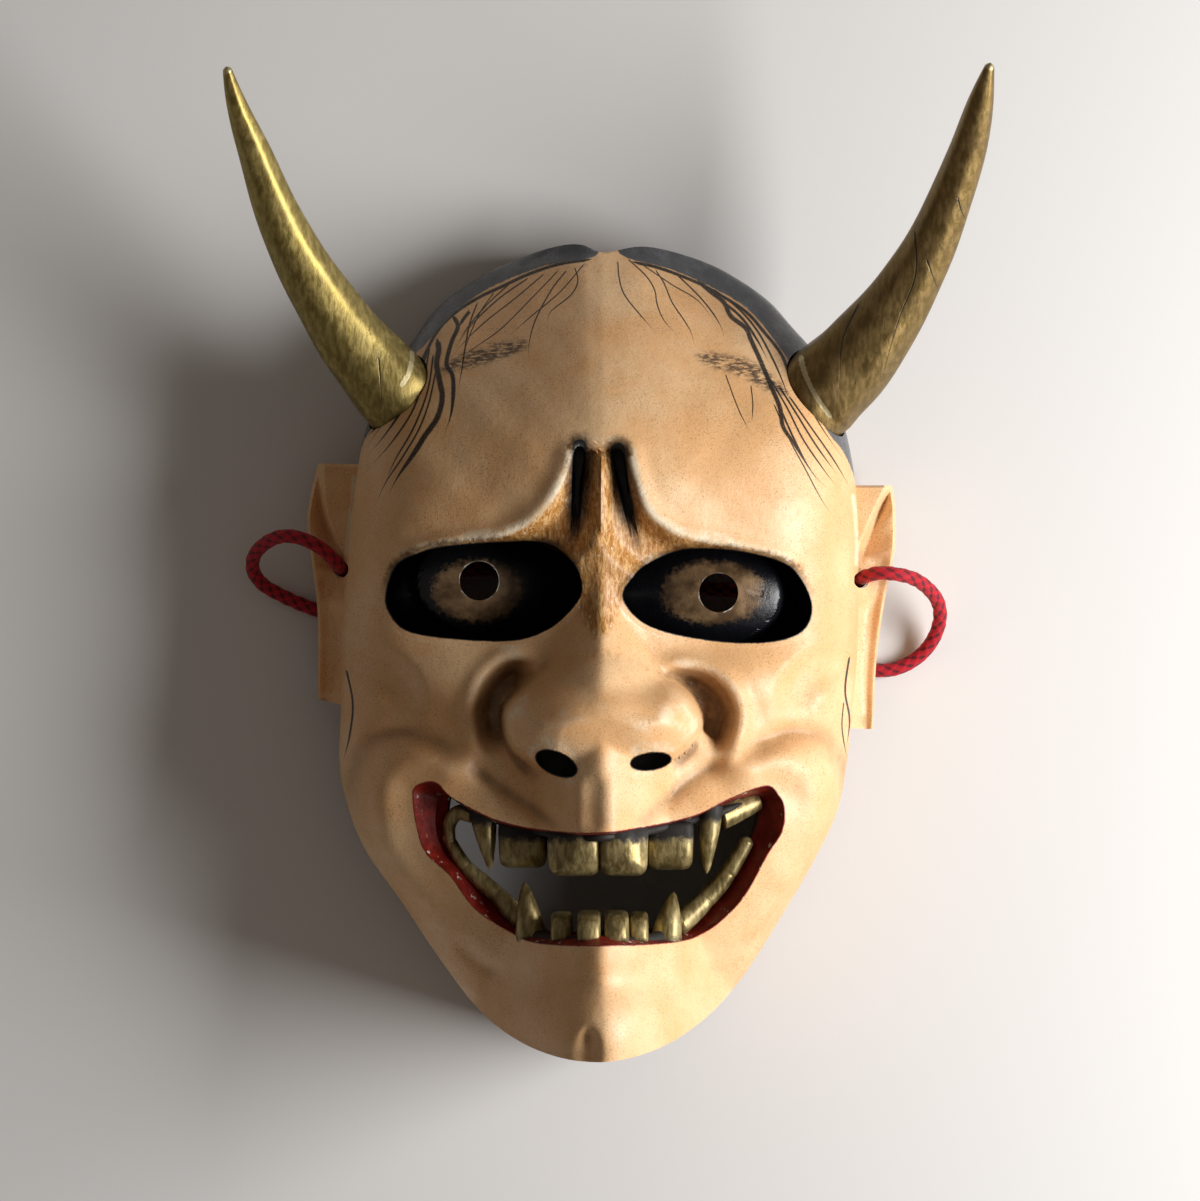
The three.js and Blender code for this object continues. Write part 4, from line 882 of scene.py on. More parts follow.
HORN_GILDING = (GildedWood(), GildedWood("gilded_wood_brown", "#77633A", "#937B4F", "#5E4628"))
TEETH_GILDING = GildedWood("gilded_teeth_paint", "#7A6B42", "#AD9B6C", "#4E3E20",
                           metal=(0.4, 0.75), rough=(0.34, 0.5))


@dataclass(frozen=True)
class BraidedCord:
    """Crimson braid with a soft sheen and darker gaps between its strands."""

    crimson: str = "#B8031F"
    lit: str = "#CE1038"
    shade: str = "#4A0412"

    def material(self) -> bpy.types.Material:
        """Builds the material; the mesh stores the depth of the braid."""
        s = Shader("braided_cord")
        depth, _, _ = s.layer("braid")
        threads = s.noise(2600, 2, 0.6)
        colour = s.mix(s.step(depth, 0.1, 0.75), self.shade, self.crimson)
        colour = s.mix(s.times(s.step(threads, 0.4, 0.7), 0.25), colour, self.lit)
        s.set(Base_Color=colour, Roughness=0.78, Sheen_Weight=0.08)
        s.bump(threads, 0.00012, 0.7)
        return s.material


@dataclass(frozen=True)
class Backdrop:
    """Pale even floor."""

    colour: str = "#E6E5E4"

    def material(self) -> bpy.types.Material:
        """Builds the material."""
        s = Shader("pale_floor")
        s.set(Base_Color=linear(self.colour), Roughness=0.9)
        return s.material


# Meshes


def mesh_object(name: str, solid: Solid, material: bpy.types.Material, layers: dict[str, Array],
                sharp: float | None = None) -> bpy.types.Object:
    """Object at the origin from a solid in mm of the working frame.

    Args:
        name: name of the object.
        solid: its points and triangles.
        material: its finish.
        layers: three stored values for each point, by name.
        sharp: angle in degrees above which an edge stays sharp; None keeps all soft.
    Returns:
        The linked object.
    """
    mesh = bpy.data.meshes.new(name)
    points = (solid.points + FRAME_SHIFT) * MM
    mesh.from_pydata(points.tolist(), [], solid.faces.tolist())
    for key, values in layers.items():
        stored = mesh.attributes.new(key, "FLOAT_VECTOR", "POINT")
        stored.data.foreach_set("vector", np.ascontiguousarray(values, np.float32).ravel())
    mesh.materials.append(material)
    mesh.shade_smooth()
    if sharp is not None:
        mesh.set_sharp_from_angle(angle=math.radians(sharp))
    made = bpy.data.objects.new(name, mesh)
    bpy.context.scene.collection.objects.link(made)
    LOG.info("%s: %d points, %d faces", name, len(mesh.vertices), len(mesh.polygons))
    return made


class Join(Enum):
    """How a solid is combined with the one before it."""

    ADD = "UNION"
    CUT = "DIFFERENCE"


def combined(base: Solid, parts: Sequence[tuple[Join, Solid]]) -> Solid:
    """Base with the other solids joined to it or cut from it, in order."""
    made: list[bpy.types.Object] = []

    def temporary(solid: Solid) -> bpy.types.Object:
        """Object in mm for the combining only."""
        mesh = bpy.data.meshes.new("temporary")
        mesh.from_pydata(solid.points.tolist(), [], solid.faces.tolist())
        item = bpy.data.objects.new("temporary", mesh)
        bpy.context.scene.collection.objects.link(item)
        made.append(item)
        return item

    body = temporary(base)
    for how, solid in parts:
        modifier = body.modifiers.new("join", "BOOLEAN")
        modifier.operation = how.value
        modifier.solver = "MANIFOLD"
        modifier.object = temporary(solid)
    graph = bpy.context.evaluated_depsgraph_get()
    result = body.evaluated_get(graph)
    mesh = result.to_mesh()
    points = np.empty(len(mesh.vertices) * 3, np.float32)
    mesh.vertices.foreach_get("co", points)
    mesh.calc_loop_triangles()
    faces = np.empty(len(mesh.loop_triangles) * 3, np.int32)
    mesh.loop_triangles.foreach_get("vertices", faces)
    result.to_mesh_clear()
    for item in made:
        mesh = item.data
        bpy.data.objects.remove(item)
        bpy.data.meshes.remove(mesh)
    return Solid(points.reshape(-1, 3).astype(float), faces.reshape(-1, 3))


def relief_of(solid: Solid, rounds: int) -> Array:
    """How far each point stands out of its surroundings in mm, along its normal.

    Args:
        solid: a triangle mesh.
        rounds: times that each point is averaged with its neighbours.
    Returns:
        Positive on crests and edges, negative in grooves.
    """
    faces, points = solid.faces, solid.points
    pairs = np.vstack([faces[:, [0, 1]], faces[:, [1, 2]], faces[:, [2, 0]]])
    count = np.maximum(np.bincount(pairs[:, 0], minlength=len(points)), 1.0)
    smooth = points.copy()
    for _ in range(rounds):
        around = [np.bincount(pairs[:, 0], smooth[pairs[:, 1], k], len(points)) for k in range(3)]
        smooth = 0.5 * smooth + 0.5 * np.stack(around, 1) / count[:, None]
    corner = points[faces]
    across = np.cross(corner[:, 1] - corner[:, 0], corner[:, 2] - corner[:, 0])
    normal = np.stack([sum(np.bincount(faces[:, c], across[:, k], len(points)) for c in range(3))
                       for k in range(3)], 1)
    normal /= np.maximum(np.linalg.norm(normal, axis=1, keepdims=True), 1e-9)
    relief = np.clip(np.einsum("ij,ij->i", points - smooth, normal), -1.0, 1.0)
    for _ in range(4):
        relief = 0.4 * relief + 0.6 * np.bincount(pairs[:, 0], relief[pairs[:, 1]], len(points)) / count
    return relief


# Carved face


@dataclass(frozen=True)
class Eye:
    """Opening in the lids, ball behind it and the hole of the pupil."""

    opening: tuple[Point, ...]
    pupil: Point
    outward: int
    gilt_centre: Point
    gilt_half: Point
    pupil_radius: float = 5.1
    ball_top: float = 50.0
    ball_span: Point = (70.0, 30.0)

    def ball(self, x: Array, y: Array) -> Array:
        """Height of the ball: top - dx^2 / 70 - dy^2 / 30, with a drop at its outer edge."""
        dx, dy = (x - self.pupil[0]) * self.outward, y - self.pupil[1]
        gap = ease(16, 18.5, np.hypot(dx, dy * 1.25)) * ease(2, 10, dx)
        return self.ball_top - dx * dx / self.ball_span[0] - dy * dy / self.ball_span[1] - 7 * gap

    def socket(self, rings: int = 30, steps: int = 9) -> Solid:
        """Space in front of the ball."""
        edge = curve_through(self.opening, True, steps)
        centre = np.array(self.pupil)
        rows = []
        for k in range(1, rings + 1):
            flat = centre + k / rings * (edge - centre)
            rows.append(np.column_stack([flat, self.ball(flat[:, 0], flat[:, 1])]))
        return solid_of_rings(np.stack(rows + [level(edge, ABOVE_FACE)]))


EYES = (
    Eye(opening=(
        (-55.9, 14.7), (-54.9, 9.7), (-50.4, 5.2), (-39.4, 3.2), (-23.1, 2.6), (-13.7, 5.5), (-7.6, 10.6),
        (-4.7, 15.8), (-6.8, 22.5), (-13.7, 27.8), (-25.5, 28.1), (-40.2, 27), (-47.5, 25.2), (-53.3, 22),
    ), pupil=(-31.5, 18.1), outward=-1, gilt_centre=(-32, 15.5), gilt_half=(11.8, 8.1)),
    Eye(opening=(
        (6, 13.7), (10.8, 7.6), (19.7, 4.2), (34.4, 2.1), (46.7, 2.6), (53.6, 5.8), (55.2, 12.4),
        (51.2, 20.2), (45.4, 23.6), (34.4, 26), (21.8, 26.2), (12.9, 22.8), (8.4, 18.8),
    ), pupil=(31, 15), outward=1, gilt_centre=(29.5, 15.1), gilt_half=(13.5, 8.3)),
)


@dataclass(frozen=True)
class HairPaint:
    """Painted hair: the band round the brow, brushed strokes and the smudged high brows."""

    band: tuple[Point, ...] = (
        (-63.8, 49.1), (-61.4, 55.9), (-56.2, 62.0), (-51.5, 68.8), (-48.8, 76.9), (-45.7, 80.3),
        (-39.4, 87.7), (-32.0, 93.5), (-25.2, 97.1), (-16.3, 100.5), (-9.5, 102.1), (-1.6, 103.4),
        (0.8, 106.6), (3.2, 106.6), (7.1, 103.2), (18.1, 100.3), (27.0, 96.6), (36.2, 91.6),
        (40.7, 87.7), (45.1, 82.2), (50.7, 74.0), (52.8, 70.6), (58.8, 58.3), (64.0, 51.5), (67.5, 43.8),
    )
    smudges: tuple[tuple[Point, ...], ...] = (
        ((-41.2, 73.5), (-29.9, 77.4), (-18.9, 80.1)),
        ((25.7, 76.9), (38.1, 73.5), (48.8, 67.2)),
    )
    smudge_half: float = 2.0
    left: tuple[tuple[float, tuple[Point, ...]], ...] = (
        (0.58, ((-38.9, 88.2), (-37.3, 85.0), (-38.9, 80.9), (-40.2, 75.1), (-38.6, 71.9), (-38.3, 67.2),
                (-38.9, 61.4), (-40.7, 55.9))),
        (0.47, ((-33.9, 89.5), (-35.7, 87.2), (-37.3, 84.5))),
        (0.76, ((-42.8, 82.2), (-42.3, 78.8), (-42.8, 75.1), (-42.0, 70.6), (-41.2, 65.9), (-42.5, 60.6),
                (-45.7, 55.9), (-48.8, 50.9), (-52.8, 45.1), (-55.7, 39.6))),
        (0.45, ((-1.3, 102.9), (-10.5, 101.6), (-18.6, 99.0), (-25.5, 95.8), (-32.0, 92.7), (-38.3, 88.5),
                (-43.1, 83.2), (-47.0, 75.1), (-50.1, 68.8), (-54.6, 62.5), (-59.3, 55.9), (-63.8, 49.6))),
        (0.79, ((-48.3, 78.2), (-50.1, 70.6), (-53.3, 65.1), (-57.5, 59.6), (-62.0, 55.1))),
        (0.26, ((-44.6, 80.1), (-46.2, 70.9), (-48.8, 63.0), (-53.0, 56.2), (-57.8, 50.4), (-61.4, 47.2))),
        (0.26, ((-43.6, 78.2), (-45.1, 67.7), (-48.8, 57.8), (-53.6, 49.4), (-56.7, 42.0))),
        (0.24, ((-42.8, 74.0), (-44.6, 65.1), (-47.2, 57.8), (-51.5, 50.4), (-56.2, 43.3), (-59.3, 36.2))),
        (0.34, ((-45.1, 78.8), (-48.3, 69.8), (-52.0, 62.5), (-56.7, 55.7), (-60.9, 50.9))),
        (0.18, ((-6.8, 101.1), (-5.8, 97.1), (-7.6, 93.2), (-13.1, 88.5), (-13.4, 85.0))),
        (0.18, ((-8.4, 100.3), (-12.3, 95.3), (-15.8, 89.0), (-17.6, 84.5), (-18.6, 79.5), (-18.6, 75.1))),
        (0.16, ((-10.5, 100.3), (-18.4, 91.9), (-26.2, 84.0), (-34.1, 78.2), (-38.9, 73.0))),
        (0.18, ((-14.4, 99.2), (-22.3, 92.4), (-30.2, 86.1), (-36.2, 80.1), (-39.4, 75.6))),
        (0.21, ((-18.4, 98.2), (-26.2, 92.7), (-33.1, 86.1), (-37.3, 80.1))),
        (0.18, ((-23.6, 96.6), (-29.9, 90.6), (-35.2, 84.0), (-38.1, 78.2))),
        (0.16, ((-3.9, 101.9), (-10.5, 94.0), (-18.4, 87.2), (-24.9, 81.4))),
        (0.16, ((-27.6, 94.5), (-31.5, 88.7), (-34.1, 82.7), (-36.2, 76.1))),
        (0.21, ((-32.0, 91.9), (-34.1, 86.1), (-35.2, 80.1), (-36.2, 73.0), (-37.3, 66.7))),
        (0.29, ((-66.7, -4.7), (-64.8, -13.7), (-65.6, -22.3), (-67.7, -30.5))),
    )
    right: tuple[tuple[float, tuple[Point, ...]], ...] = (
        (0.63, ((25.2, 97.7), (28.9, 94.5), (32.6, 91.4), (34.4, 87.7), (38.3, 84.5), (39.6, 81.4),
                (42.0, 75.9), (45.1, 68.2), (47.0, 63.3), (47.8, 58.3), (50.7, 53.8), (55.9, 45.7),
                (60.6, 41.2))),
        (0.45, ((7.4, 102.4), (15.8, 100.5), (25.2, 96.9), (30.7, 94.0), (38.3, 89.0), (43.1, 83.5),
                (47.5, 77.7), (50.1, 71.4), (54.3, 64.6), (58.8, 57.0), (65.6, 47.8))),
        (0.18, ((4.7, 102.9), (5.0, 98.2), (6.3, 93.5), (10.0, 88.5), (15.0, 82.7))),
        (0.18, ((7.1, 103.2), (12.1, 98.4), (14.4, 94.5), (15.0, 90.8), (16.8, 86.4), (20.7, 81.9))),
        (0.18, ((14.4, 100.3), (16.8, 96.6), (18.9, 91.4), (21.8, 86.9), (23.9, 83.2), (25.2, 78.8))),
        (0.16, ((32.6, 72.7), (36.2, 62.7), (39.4, 56.4))),
        (0.16, ((39.4, 69.6), (39.9, 64.3), (39.6, 58.8))),
        (0.37, ((26.2, 96.9), (32.0, 91.9), (37.3, 87.2), (41.5, 80.9), (44.6, 74.5))),
        (0.29, ((29.4, 95.3), (36.2, 90.0), (41.2, 84.0), (45.1, 76.7), (48.0, 69.8), (50.4, 62.5))),
        (0.16, ((10.5, 101.9), (18.9, 96.1), (25.7, 91.9), (30.2, 86.1))),
        (0.21, ((19.9, 99.2), (26.2, 92.9), (30.5, 87.2), (33.1, 81.9))),
        (0.29, ((42.0, 75.9), (45.9, 66.2), (49.4, 57.8), (53.0, 50.4), (57.2, 43.3))),
        (0.24, ((43.8, 72.2), (48.8, 63.5), (53.0, 55.1), (58.8, 46.7), (63.5, 41.0))),
        (0.26, ((46.5, 69.6), (51.2, 62.0), (56.4, 53.6), (63.0, 44.6))),
        (0.24, ((49.1, 66.9), (55.1, 58.3), (61.4, 49.4), (66.2, 41.5))),
        (0.18, ((45.1, 65.1), (49.4, 55.1), (53.6, 47.2), (57.8, 39.4), (62.0, 33.6))),
        (0.29, ((65.6, -1.3), (64.3, -10.5), (65.6, -18.4), (64.6, -26.8))),
        (0.18, ((64.0, -13.1), (63.5, -20.5), (65.1, -29.4))),
    )

    def band_distance(self, x: Array, y: Array) -> Array:
        """Distance into the hair band, negative on the brow."""
        far = [(160.0, 58.0), (160.0, 200.0), (-160.0, 200.0), (-160.0, 60.0)]
        edge = np.vstack([curve_through(self.band, False, 5), far])
        return inside_curve(x, y, edge)

    def smudge(self, x: Array, y: Array) -> Array:
        """Distance into the smudged brows, negative outside them."""
        best = np.full(np.shape(x), FAR_OUTSIDE)
        for line in self.smudges:
            distance, share = along_line(x, y, line)
            best = np.maximum(best, self.smudge_half * np.sqrt(4 * share * (1 - share)) - np.abs(distance))
        return best

    def stroke(self, x: Array, y: Array, index: int) -> Array:
        """Distance from stroke number index over its half width, on both halves of the face."""
        value = np.full(np.shape(x), 40.0)
        for strokes, side, half in ((self.left, 1.0, x <= 0), (self.right, -1.0, x > 0)):
            if index < len(strokes):
                width, line = strokes[index]
                distance, share = along_line(x, y, line)
                taper = ease(0, 0.04, share) * (1 - ease(0.62, 1.0, share)) + 1e-3
                signed = np.where((share > 0) & (share < 1), distance * side, np.abs(distance))
                value = np.where(half, np.clip(signed / (width * taper), -40, 40), value)
        return value


@dataclass
class Ear:
    """Folded ear between its outer edge and the side of the head."""

    edge: tuple[Point, ...]
    root: tuple[Point, ...]
    hole_v: float
    back: float = 9.0
    front: float = 15.0
    leaf: float = 8.0
    shell: float = 4.0
    bump: float = 5.0
    strip: float = 5.0

    @staticmethod
    def _sampled(line: Sequence[Point], share: Array) -> Array:
        """Points of the curve through a line at shares of its points."""
        curve = curve_through(line, False, 40)
        at = share * (len(curve) - 1)
        return np.stack([np.interp(at, np.arange(len(curve)), curve[:, k]) for k in range(2)], 1)

    def solid(self, across: int = 44, along: int = 130) -> Solid:
        """Closed plate whose front carries the leaf, the shell, the bump and the lobe."""
        v = np.linspace(0, 1, along + 1)
        inner, outer = (self._sampled(line, v) for line in (self.root, self.edge))
        u = np.linspace(0, 1, across + 1)
        flat = inner[:, None, :] + (outer - inner)[:, None, :] * u[None, :, None]
        rise = self.height(u[None, :], v[:, None])
        front = np.concatenate([flat, rise[..., None]], 2)
        back = np.concatenate([flat[:, ::-1], np.full((along + 1, across + 1, 1), self.back)], 2)
        return solid_of_rings(np.concatenate([front, back], 1))

    def height(self, u: Array, v: Array) -> Array:
        """Front height: a leaf beside the head and a shell with fanned folds, then a bump and a strip."""
        ridge_at = 0.9 - 0.5 * np.minimum(v / self.hole_v, 1)
        leaf = 1 - ease(ridge_at - 0.03, ridge_at + 0.13, u)
        upper = 1 - ease(self.hole_v - 0.015, self.hole_v + 0.035, v)
        way = np.arctan2(1.9 * (self.hole_v + 0.01 - v), u - 0.42)
        fan = 0.55 * np.sin(12 * way) * ease(0.1, 0.3, np.hypot(self.hole_v - v, 0.4 * (u - 0.42)))
        shell = self.shell * ease(ridge_at, 1.0, u) + fan
        edge = 1.2 * ease(0.8, 0.97, u)
        bump = self.bump * bell(np.hypot((u - 0.5) / 0.3, (v - self.hole_v - 0.125) / 0.06), 1)
        strip = self.strip * (1 - ease(0.32, 0.75, u)) + 0.5 * np.sin(9 * u + 2) * ease(0.62, 0.75, v)
        ends = -2.2 * ease(0.95, 1.0, v) - 0.8 * (1 - ease(0.0, 0.015, v))
        rise = upper * (self.leaf * leaf + (1 - leaf) * shell) + (1 - upper) * (strip + edge)
        return self.front + rise + bump - 2.2 * ease(0.95, 1.0, u) + ends


@dataclass
class MaskFace:
    """The carved block: face, ears, hollow back, eye sockets, slots and mouth."""

    form: FaceForm
    hair: HairPaint = field(default_factory=HairPaint)
    finish: PaintedWood = field(default_factory=PaintedWood)
    rings: int = 128
    hollow_rings: int = 56
    skirt_inset: float = 2.5
    slot_width: float = 3.2
    slot_floor: float = 60.0
    nostril_floor: float = 60.0
    cord_holes: tuple[Point, ...] = ((-68.2, 21.2), (68.8, 18.4))
    hole_radius: float = 2.15
    ear_top: float = 32.0
    horn_gap: float = 0.3
    sharp_above: float = 38.0
    ears: tuple[Ear, ...] = (
        Ear(edge=((-74.5, 49.1), (-77.2, 35.2), (-76.1, 23.6), (-74.6, 10), (-74.5, -2.6), (-74.5, -13)),
            root=((-60, 48.8), (-60, 36), (-60, 24), (-60, 10), (-60, -4), (-63, -16)), hole_v=0.45),
        Ear(edge=((77.2, 43.3), (78, 36), (77.7, 25.2), (75.1, 12.3), (73, -3.7), (72.2, -21)),
            root=((60, 43.3), (60, 34), (60, 22), (60, 8), (60, -6), (62, -20.5)), hole_v=0.39),
    )
    wash_area: tuple[Point, ...] = (
        (-7.4, 54.6), (-10.5, 42.8), (-15.0, 35.7), (-24.9, 29.7), (-42.0, 26.5), (-53.8, 22.1),
        (-54.6, 16.1), (-46, 24), (-30, 26), (-10, 24), (-5.6, 11.6), (-2.1, 4.7), (1.6, 4.7), (5.8, 13.1),
        (12, 23), (30, 24.5), (47, 20), (52.5, 22.1), (36.8, 26.0), (23.6, 28.9), (14.4, 33.6),
        (11.0, 39.4), (8.4, 49.4), (5.8, 54.9), (1.6, 52.0), (-2.6, 52.0),
    )

    def _lattice(self, rings: int, even: float, inset: float) -> tuple[Array, Array]:
        """Points of a disc spread inside the outline of the head."""
        outline = self.form.outline
        ring, turn = disc_shares(rings)
        lengths = np.linalg.norm(np.roll(outline, -1, 0) - outline, axis=1)
        passed = np.concatenate([[0], np.cumsum(lengths)]) / lengths.sum()
        whole = np.vstack([outline, outline[:1]])
        ox, oy = (np.interp(turn, passed, whole[:, k]) for k in range(2))
        share = even * ring + (1 - even) * np.sin(ring * math.pi / 2)
        share = share * (1 - inset / from_centre(ox, oy))
        return tuple(c + share * (o - c) for c, o in zip(DISC_CENTRE, (ox, oy)))

    def _block(self) -> Solid:
        """Carved front of the head down to the plane of the rim."""
        x, y = self._lattice(self.rings, 0.55, 0.0)
        top = np.column_stack([x, y, self.form.height(x, y) + self._tool_marks(x, y)])
        edge = top[-CORNERS_OF_DISC * self.rings:]
        share = 1 - self.skirt_inset / from_centre(edge[:, 0], edge[:, 1])
        floor = DISC_CENTRE + share[:, None] * (edge[:, :2] - DISC_CENTRE)
        return dome_solid(self.rings, top, level(floor, 0.0))

    @staticmethod
    def _tool_marks(x: Array, y: Array) -> Array:
        """Slight waviness of the carving: three crossed sines of about 0.1 mm."""
        crossed = 0.10 * np.sin(x / 3.1 + 1.7 * np.sin(y / 11)) * np.sin(y / 4.3 + np.sin(x / 9))
        return crossed + 0.06 * np.sin((x + y) / 2.3)

    def _hollow(self) -> Solid:
        """Space behind the face, open at the back."""
        x, y = self._lattice(self.hollow_rings, 0.0, self.form.rim_width)
        z = self.form.hollow(x, y)
        z[-CORNERS_OF_DISC * self.hollow_rings:] = 0.0
        top = np.column_stack([x, y, z])
        edge = top[-CORNERS_OF_DISC * self.hollow_rings:].copy()
        edge[:, 2] = BELOW_RIM
        return dome_solid(self.hollow_rings, top, edge)

    def _mouth(self) -> Solid:
        """Space of the mouth: the lips slope in to the opening, which goes right through."""
        edge, opening = curve_through(LIP_EDGE, True, 8), curve_through(LIP_OPENING, True, 8)
        surface = self.form.height(edge[:, 0], edge[:, 1])
        rows = [level(opening, BELOW_RIM)]
        for t in np.linspace(0, 1, 7):
            flat = opening + (edge - opening) * t
            rows.append(np.column_stack([flat, surface - LIP_DEPTH + (LIP_DEPTH - 0.2) * t**1.4]))
        return solid_of_rings(np.stack(rows + [level(edge, ABOVE_FACE)]))

    def _slot_half(self, share: Array) -> Array:
        """Half width of a frown slot, which narrows by 45% down its length."""
        return self.slot_width / 2 * (1 - 0.45 * share)

    def _slot(self, line: Sequence[Point]) -> Solid:
        """Space of a frown slot: round and deep at its top, narrower and shallower toward its lower end."""
        curve = curve_through(line, False, 10)
        step = np.gradient(curve, axis=0)
        step /= np.linalg.norm(step, axis=1, keepdims=True)
        across = np.stack([-step[:, 1], step[:, 0]], 1)
        share = np.linspace(0, 1, len(curve))
        half = self._slot_half(share) * np.sqrt(ease(-0.04, 0.09, share))
        aside = across * np.maximum(half, 0.05)[:, None]
        outline = np.vstack([curve - aside, (curve + aside)[::-1]])
        along = np.concatenate([share, share[::-1]])
        middle = self.form.height(outline[:, 0], outline[:, 1])
        floor = self.slot_floor + (middle + 0.6 - self.slot_floor) * ease(0.35, 1.0, along) ** 0.7
        return solid_of_rings(np.stack([np.column_stack([outline, floor]), level(outline, ABOVE_FACE)]))

    @staticmethod
    def _arch() -> Solid:
        """Passage under the rim at both ears."""
        profile = np.array([(-26, -6), (-26, 0), (-14, 9), (40, 9), (52, 0), (52, -6)], float)
        rows = [np.column_stack([np.full(len(profile), x), profile]) for x in (-ABOVE_FACE, ABOVE_FACE)]
        return solid_of_rings(np.stack(rows))

    def solid(self, horns: Sequence["Horn"]) -> Solid:
        """The whole block."""
        cuts = [self._hollow(), self._arch(), self._mouth()]
        cuts += [eye.socket() for eye in EYES]
        cuts += [self._slot(line) for line in FROWN_SLOTS]
        cuts += [column(ellipse(eye.pupil, (eye.pupil_radius,) * 2, 0, 72), BELOW_RIM, ABOVE_FACE)
                 for eye in EYES]
        cuts += [column(ellipse(*nostril, 48), self.nostril_floor, ABOVE_FACE) for nostril in NOSTRILS]
        cuts += [column(ellipse(hole, (self.hole_radius,) * 2, 0, 40), BELOW_RIM, self.ear_top)
                 for hole in self.cord_holes]
        cuts += [horn.plain(self.horn_gap) for horn in horns]
        added = [(Join.ADD, ear.solid()) for ear in self.ears]
        return combined(self._block(), added + [(Join.CUT, cut) for cut in cuts])

    def _back(self, x: Array, y: Array, z: Array) -> Array:
        """1 on the bare wood of the hollow and the rim, 0 on the front."""
        inner = from_centre(x, y) < self.form.reach(x, y) - self.form.rim_width + 0.4
        return np.where(((z < self.form.hollow(x, y) + 2.0) & inner) | (z < 8.0), 1.0, 0.0)

    def _relief(self, solid: Solid, lips: Array, eye: Array) -> Array:
        """Relief that wear follows on crests and the painted shade follows in grooves, without the cut
        edges at the outline, the eyes and the lips.
        """
        x, y, _ = solid.points.T
        share = from_centre(x, y) / self.form.reach(x, y)
        relief = relief_of(solid, 9)
        kept = (1 - ease(0.90, 0.95, share)) * (1 - ease(-1.6, -0.4, eye))
        relief = np.where(relief > 0, relief * kept, relief)
        relief = np.where(lips > -0.8, 0.0, relief)
        return np.where(share > 0.985, relief * 0.5, relief)

    @staticmethod
    def _gilt(x: Array, y: Array) -> Array:
        """Distance inside the gold of the nearer eye: (1 - share of the ellipse) * its half height."""
        inside = []
        for eye in EYES:
            dx, dy = ((at - c) / half for at, c, half in zip((x, y), eye.gilt_centre, eye.gilt_half))
            inside.append((1 - np.hypot(dx, dy)) * eye.gilt_half[1])
        return np.maximum(*inside)

    def _slot_black_and_shade(self, x: Array, y: Array) -> Array:
        """Distance inside the frown slots, negative outside them; the black drawn from it is black paint in
        the slots and painted shade past their sides.
        """
        deepest = np.full(len(x), FAR_OUTSIDE)
        for line in FROWN_SLOTS:
            distance, share = along_line(x, y, line)
            half = self._slot_half(share) - 2.2 * ease(0.6, 1.0, share)
            deepest = np.maximum(deepest, half - np.abs(distance))
        return deepest

    @staticmethod
    def _pale_lines(x: Array, y: Array) -> Array:
        """Distance from the pale lines along the brow lips, where the paint is rubbed, and along the
        temples.
        """
        nearest = np.full(len(x), 9.0)
        for line in BROW_LINES:
            distance, share = along_line(x, y, line)
            ends = 9 * ease(0.93, 1, share) + 9 * (1 - ease(0, 0.1, share))
            nearest = np.minimum(nearest, np.abs(distance - 0.3) + ends)
        for line in TEMPLE_LINES:
            distance, share = along_line(x, y, line)
            nearest = np.minimum(nearest, 0.25 + np.abs(distance) + 4 * (1 - fade_ends(share, 0.1, 0.8)))
        return nearest

    @staticmethod
    def _shade(x: Array, y: Array) -> Array:
        """Strength of the painted brown shade in the crescent grooves, the lip folds and the smile creases,
        from 0 to 1.
        """
        shade = np.zeros(len(x))
        for line, turn in GROOVES:
            distance, share = along_line(x, y, line)
            across = ease(-0.5, 1.8, distance * turn) * (1 - ease(4, 11, distance * turn))
            shade = np.maximum(shade, across * ease(0.02, 0.2, share) * (1 - ease(0.75, 1, share)))
        shade *= 1 - ease(-2.0, 1.0, inside_curve(x, y, curve_through(NOSE_OUTLINE, True)))
        folds = [(line, 0.5, 1.4, 0.2, 0.9) for line in LIP_FOLDS]
        folds += [(mirrored(SMILE_GROOVE, side), 0.45, 2.0, 0.2, 0.7) for side in (-1, 1)]
        for fold in folds:
            shade = np.maximum(shade, fold_along(x, y, *fold))
        return shade

    def build(self, horns: Sequence["Horn"]) -> bpy.types.Object:
        """Mesh with the stored distances that the paint is drawn from."""
        solid = self.solid(horns)
        x, y, z = solid.points.T
        lips, mouth = (inside_curve(x, y, curve_through(line, True, 8)) for line in (LIP_EDGE, LIP_OPENING))
        eye = np.maximum(*[inside_curve(x, y, curve_through(e.opening, True, 9)) for e in EYES])
        pupil = np.minimum(*[np.hypot(x - e.pupil[0], y - e.pupil[1]) - e.pupil_radius for e in EYES])
        nostril = np.maximum(*[inside_curve(x, y, ellipse(*hole, 36)) for hole in NOSTRILS])
        wash = inside_curve(x, y, curve_through(self.wash_area, True, 4))
        upper = ease(12, 21, y) * (1 - ease(34, 40, y))
        areas = {
            "areas_a": (self.hair.band_distance(x, y), lips, mouth),
            "areas_b": (eye, pupil, wash),
            "areas_c": (self.hair.smudge(x, y), self._relief(solid, lips, eye), self._back(x, y, z)),
            "areas_d": (self._gilt(x, y), nostril, self._slot_black_and_shade(x, y)),
            "areas_e": (self._pale_lines(x, y), upper, self._shade(x, y)),
        }
        for k in range(self.finish.stroke_layers):
            areas[f"strokes_{k}"] = tuple(self.hair.stroke(x, y, 3 * k + j) for j in range(3))
        layers = {name: np.stack(values, 1) for name, values in areas.items()}
        return mesh_object("carved_face", solid, self.finish.material(), layers, self.sharp_above)


# Horns, teeth and cord


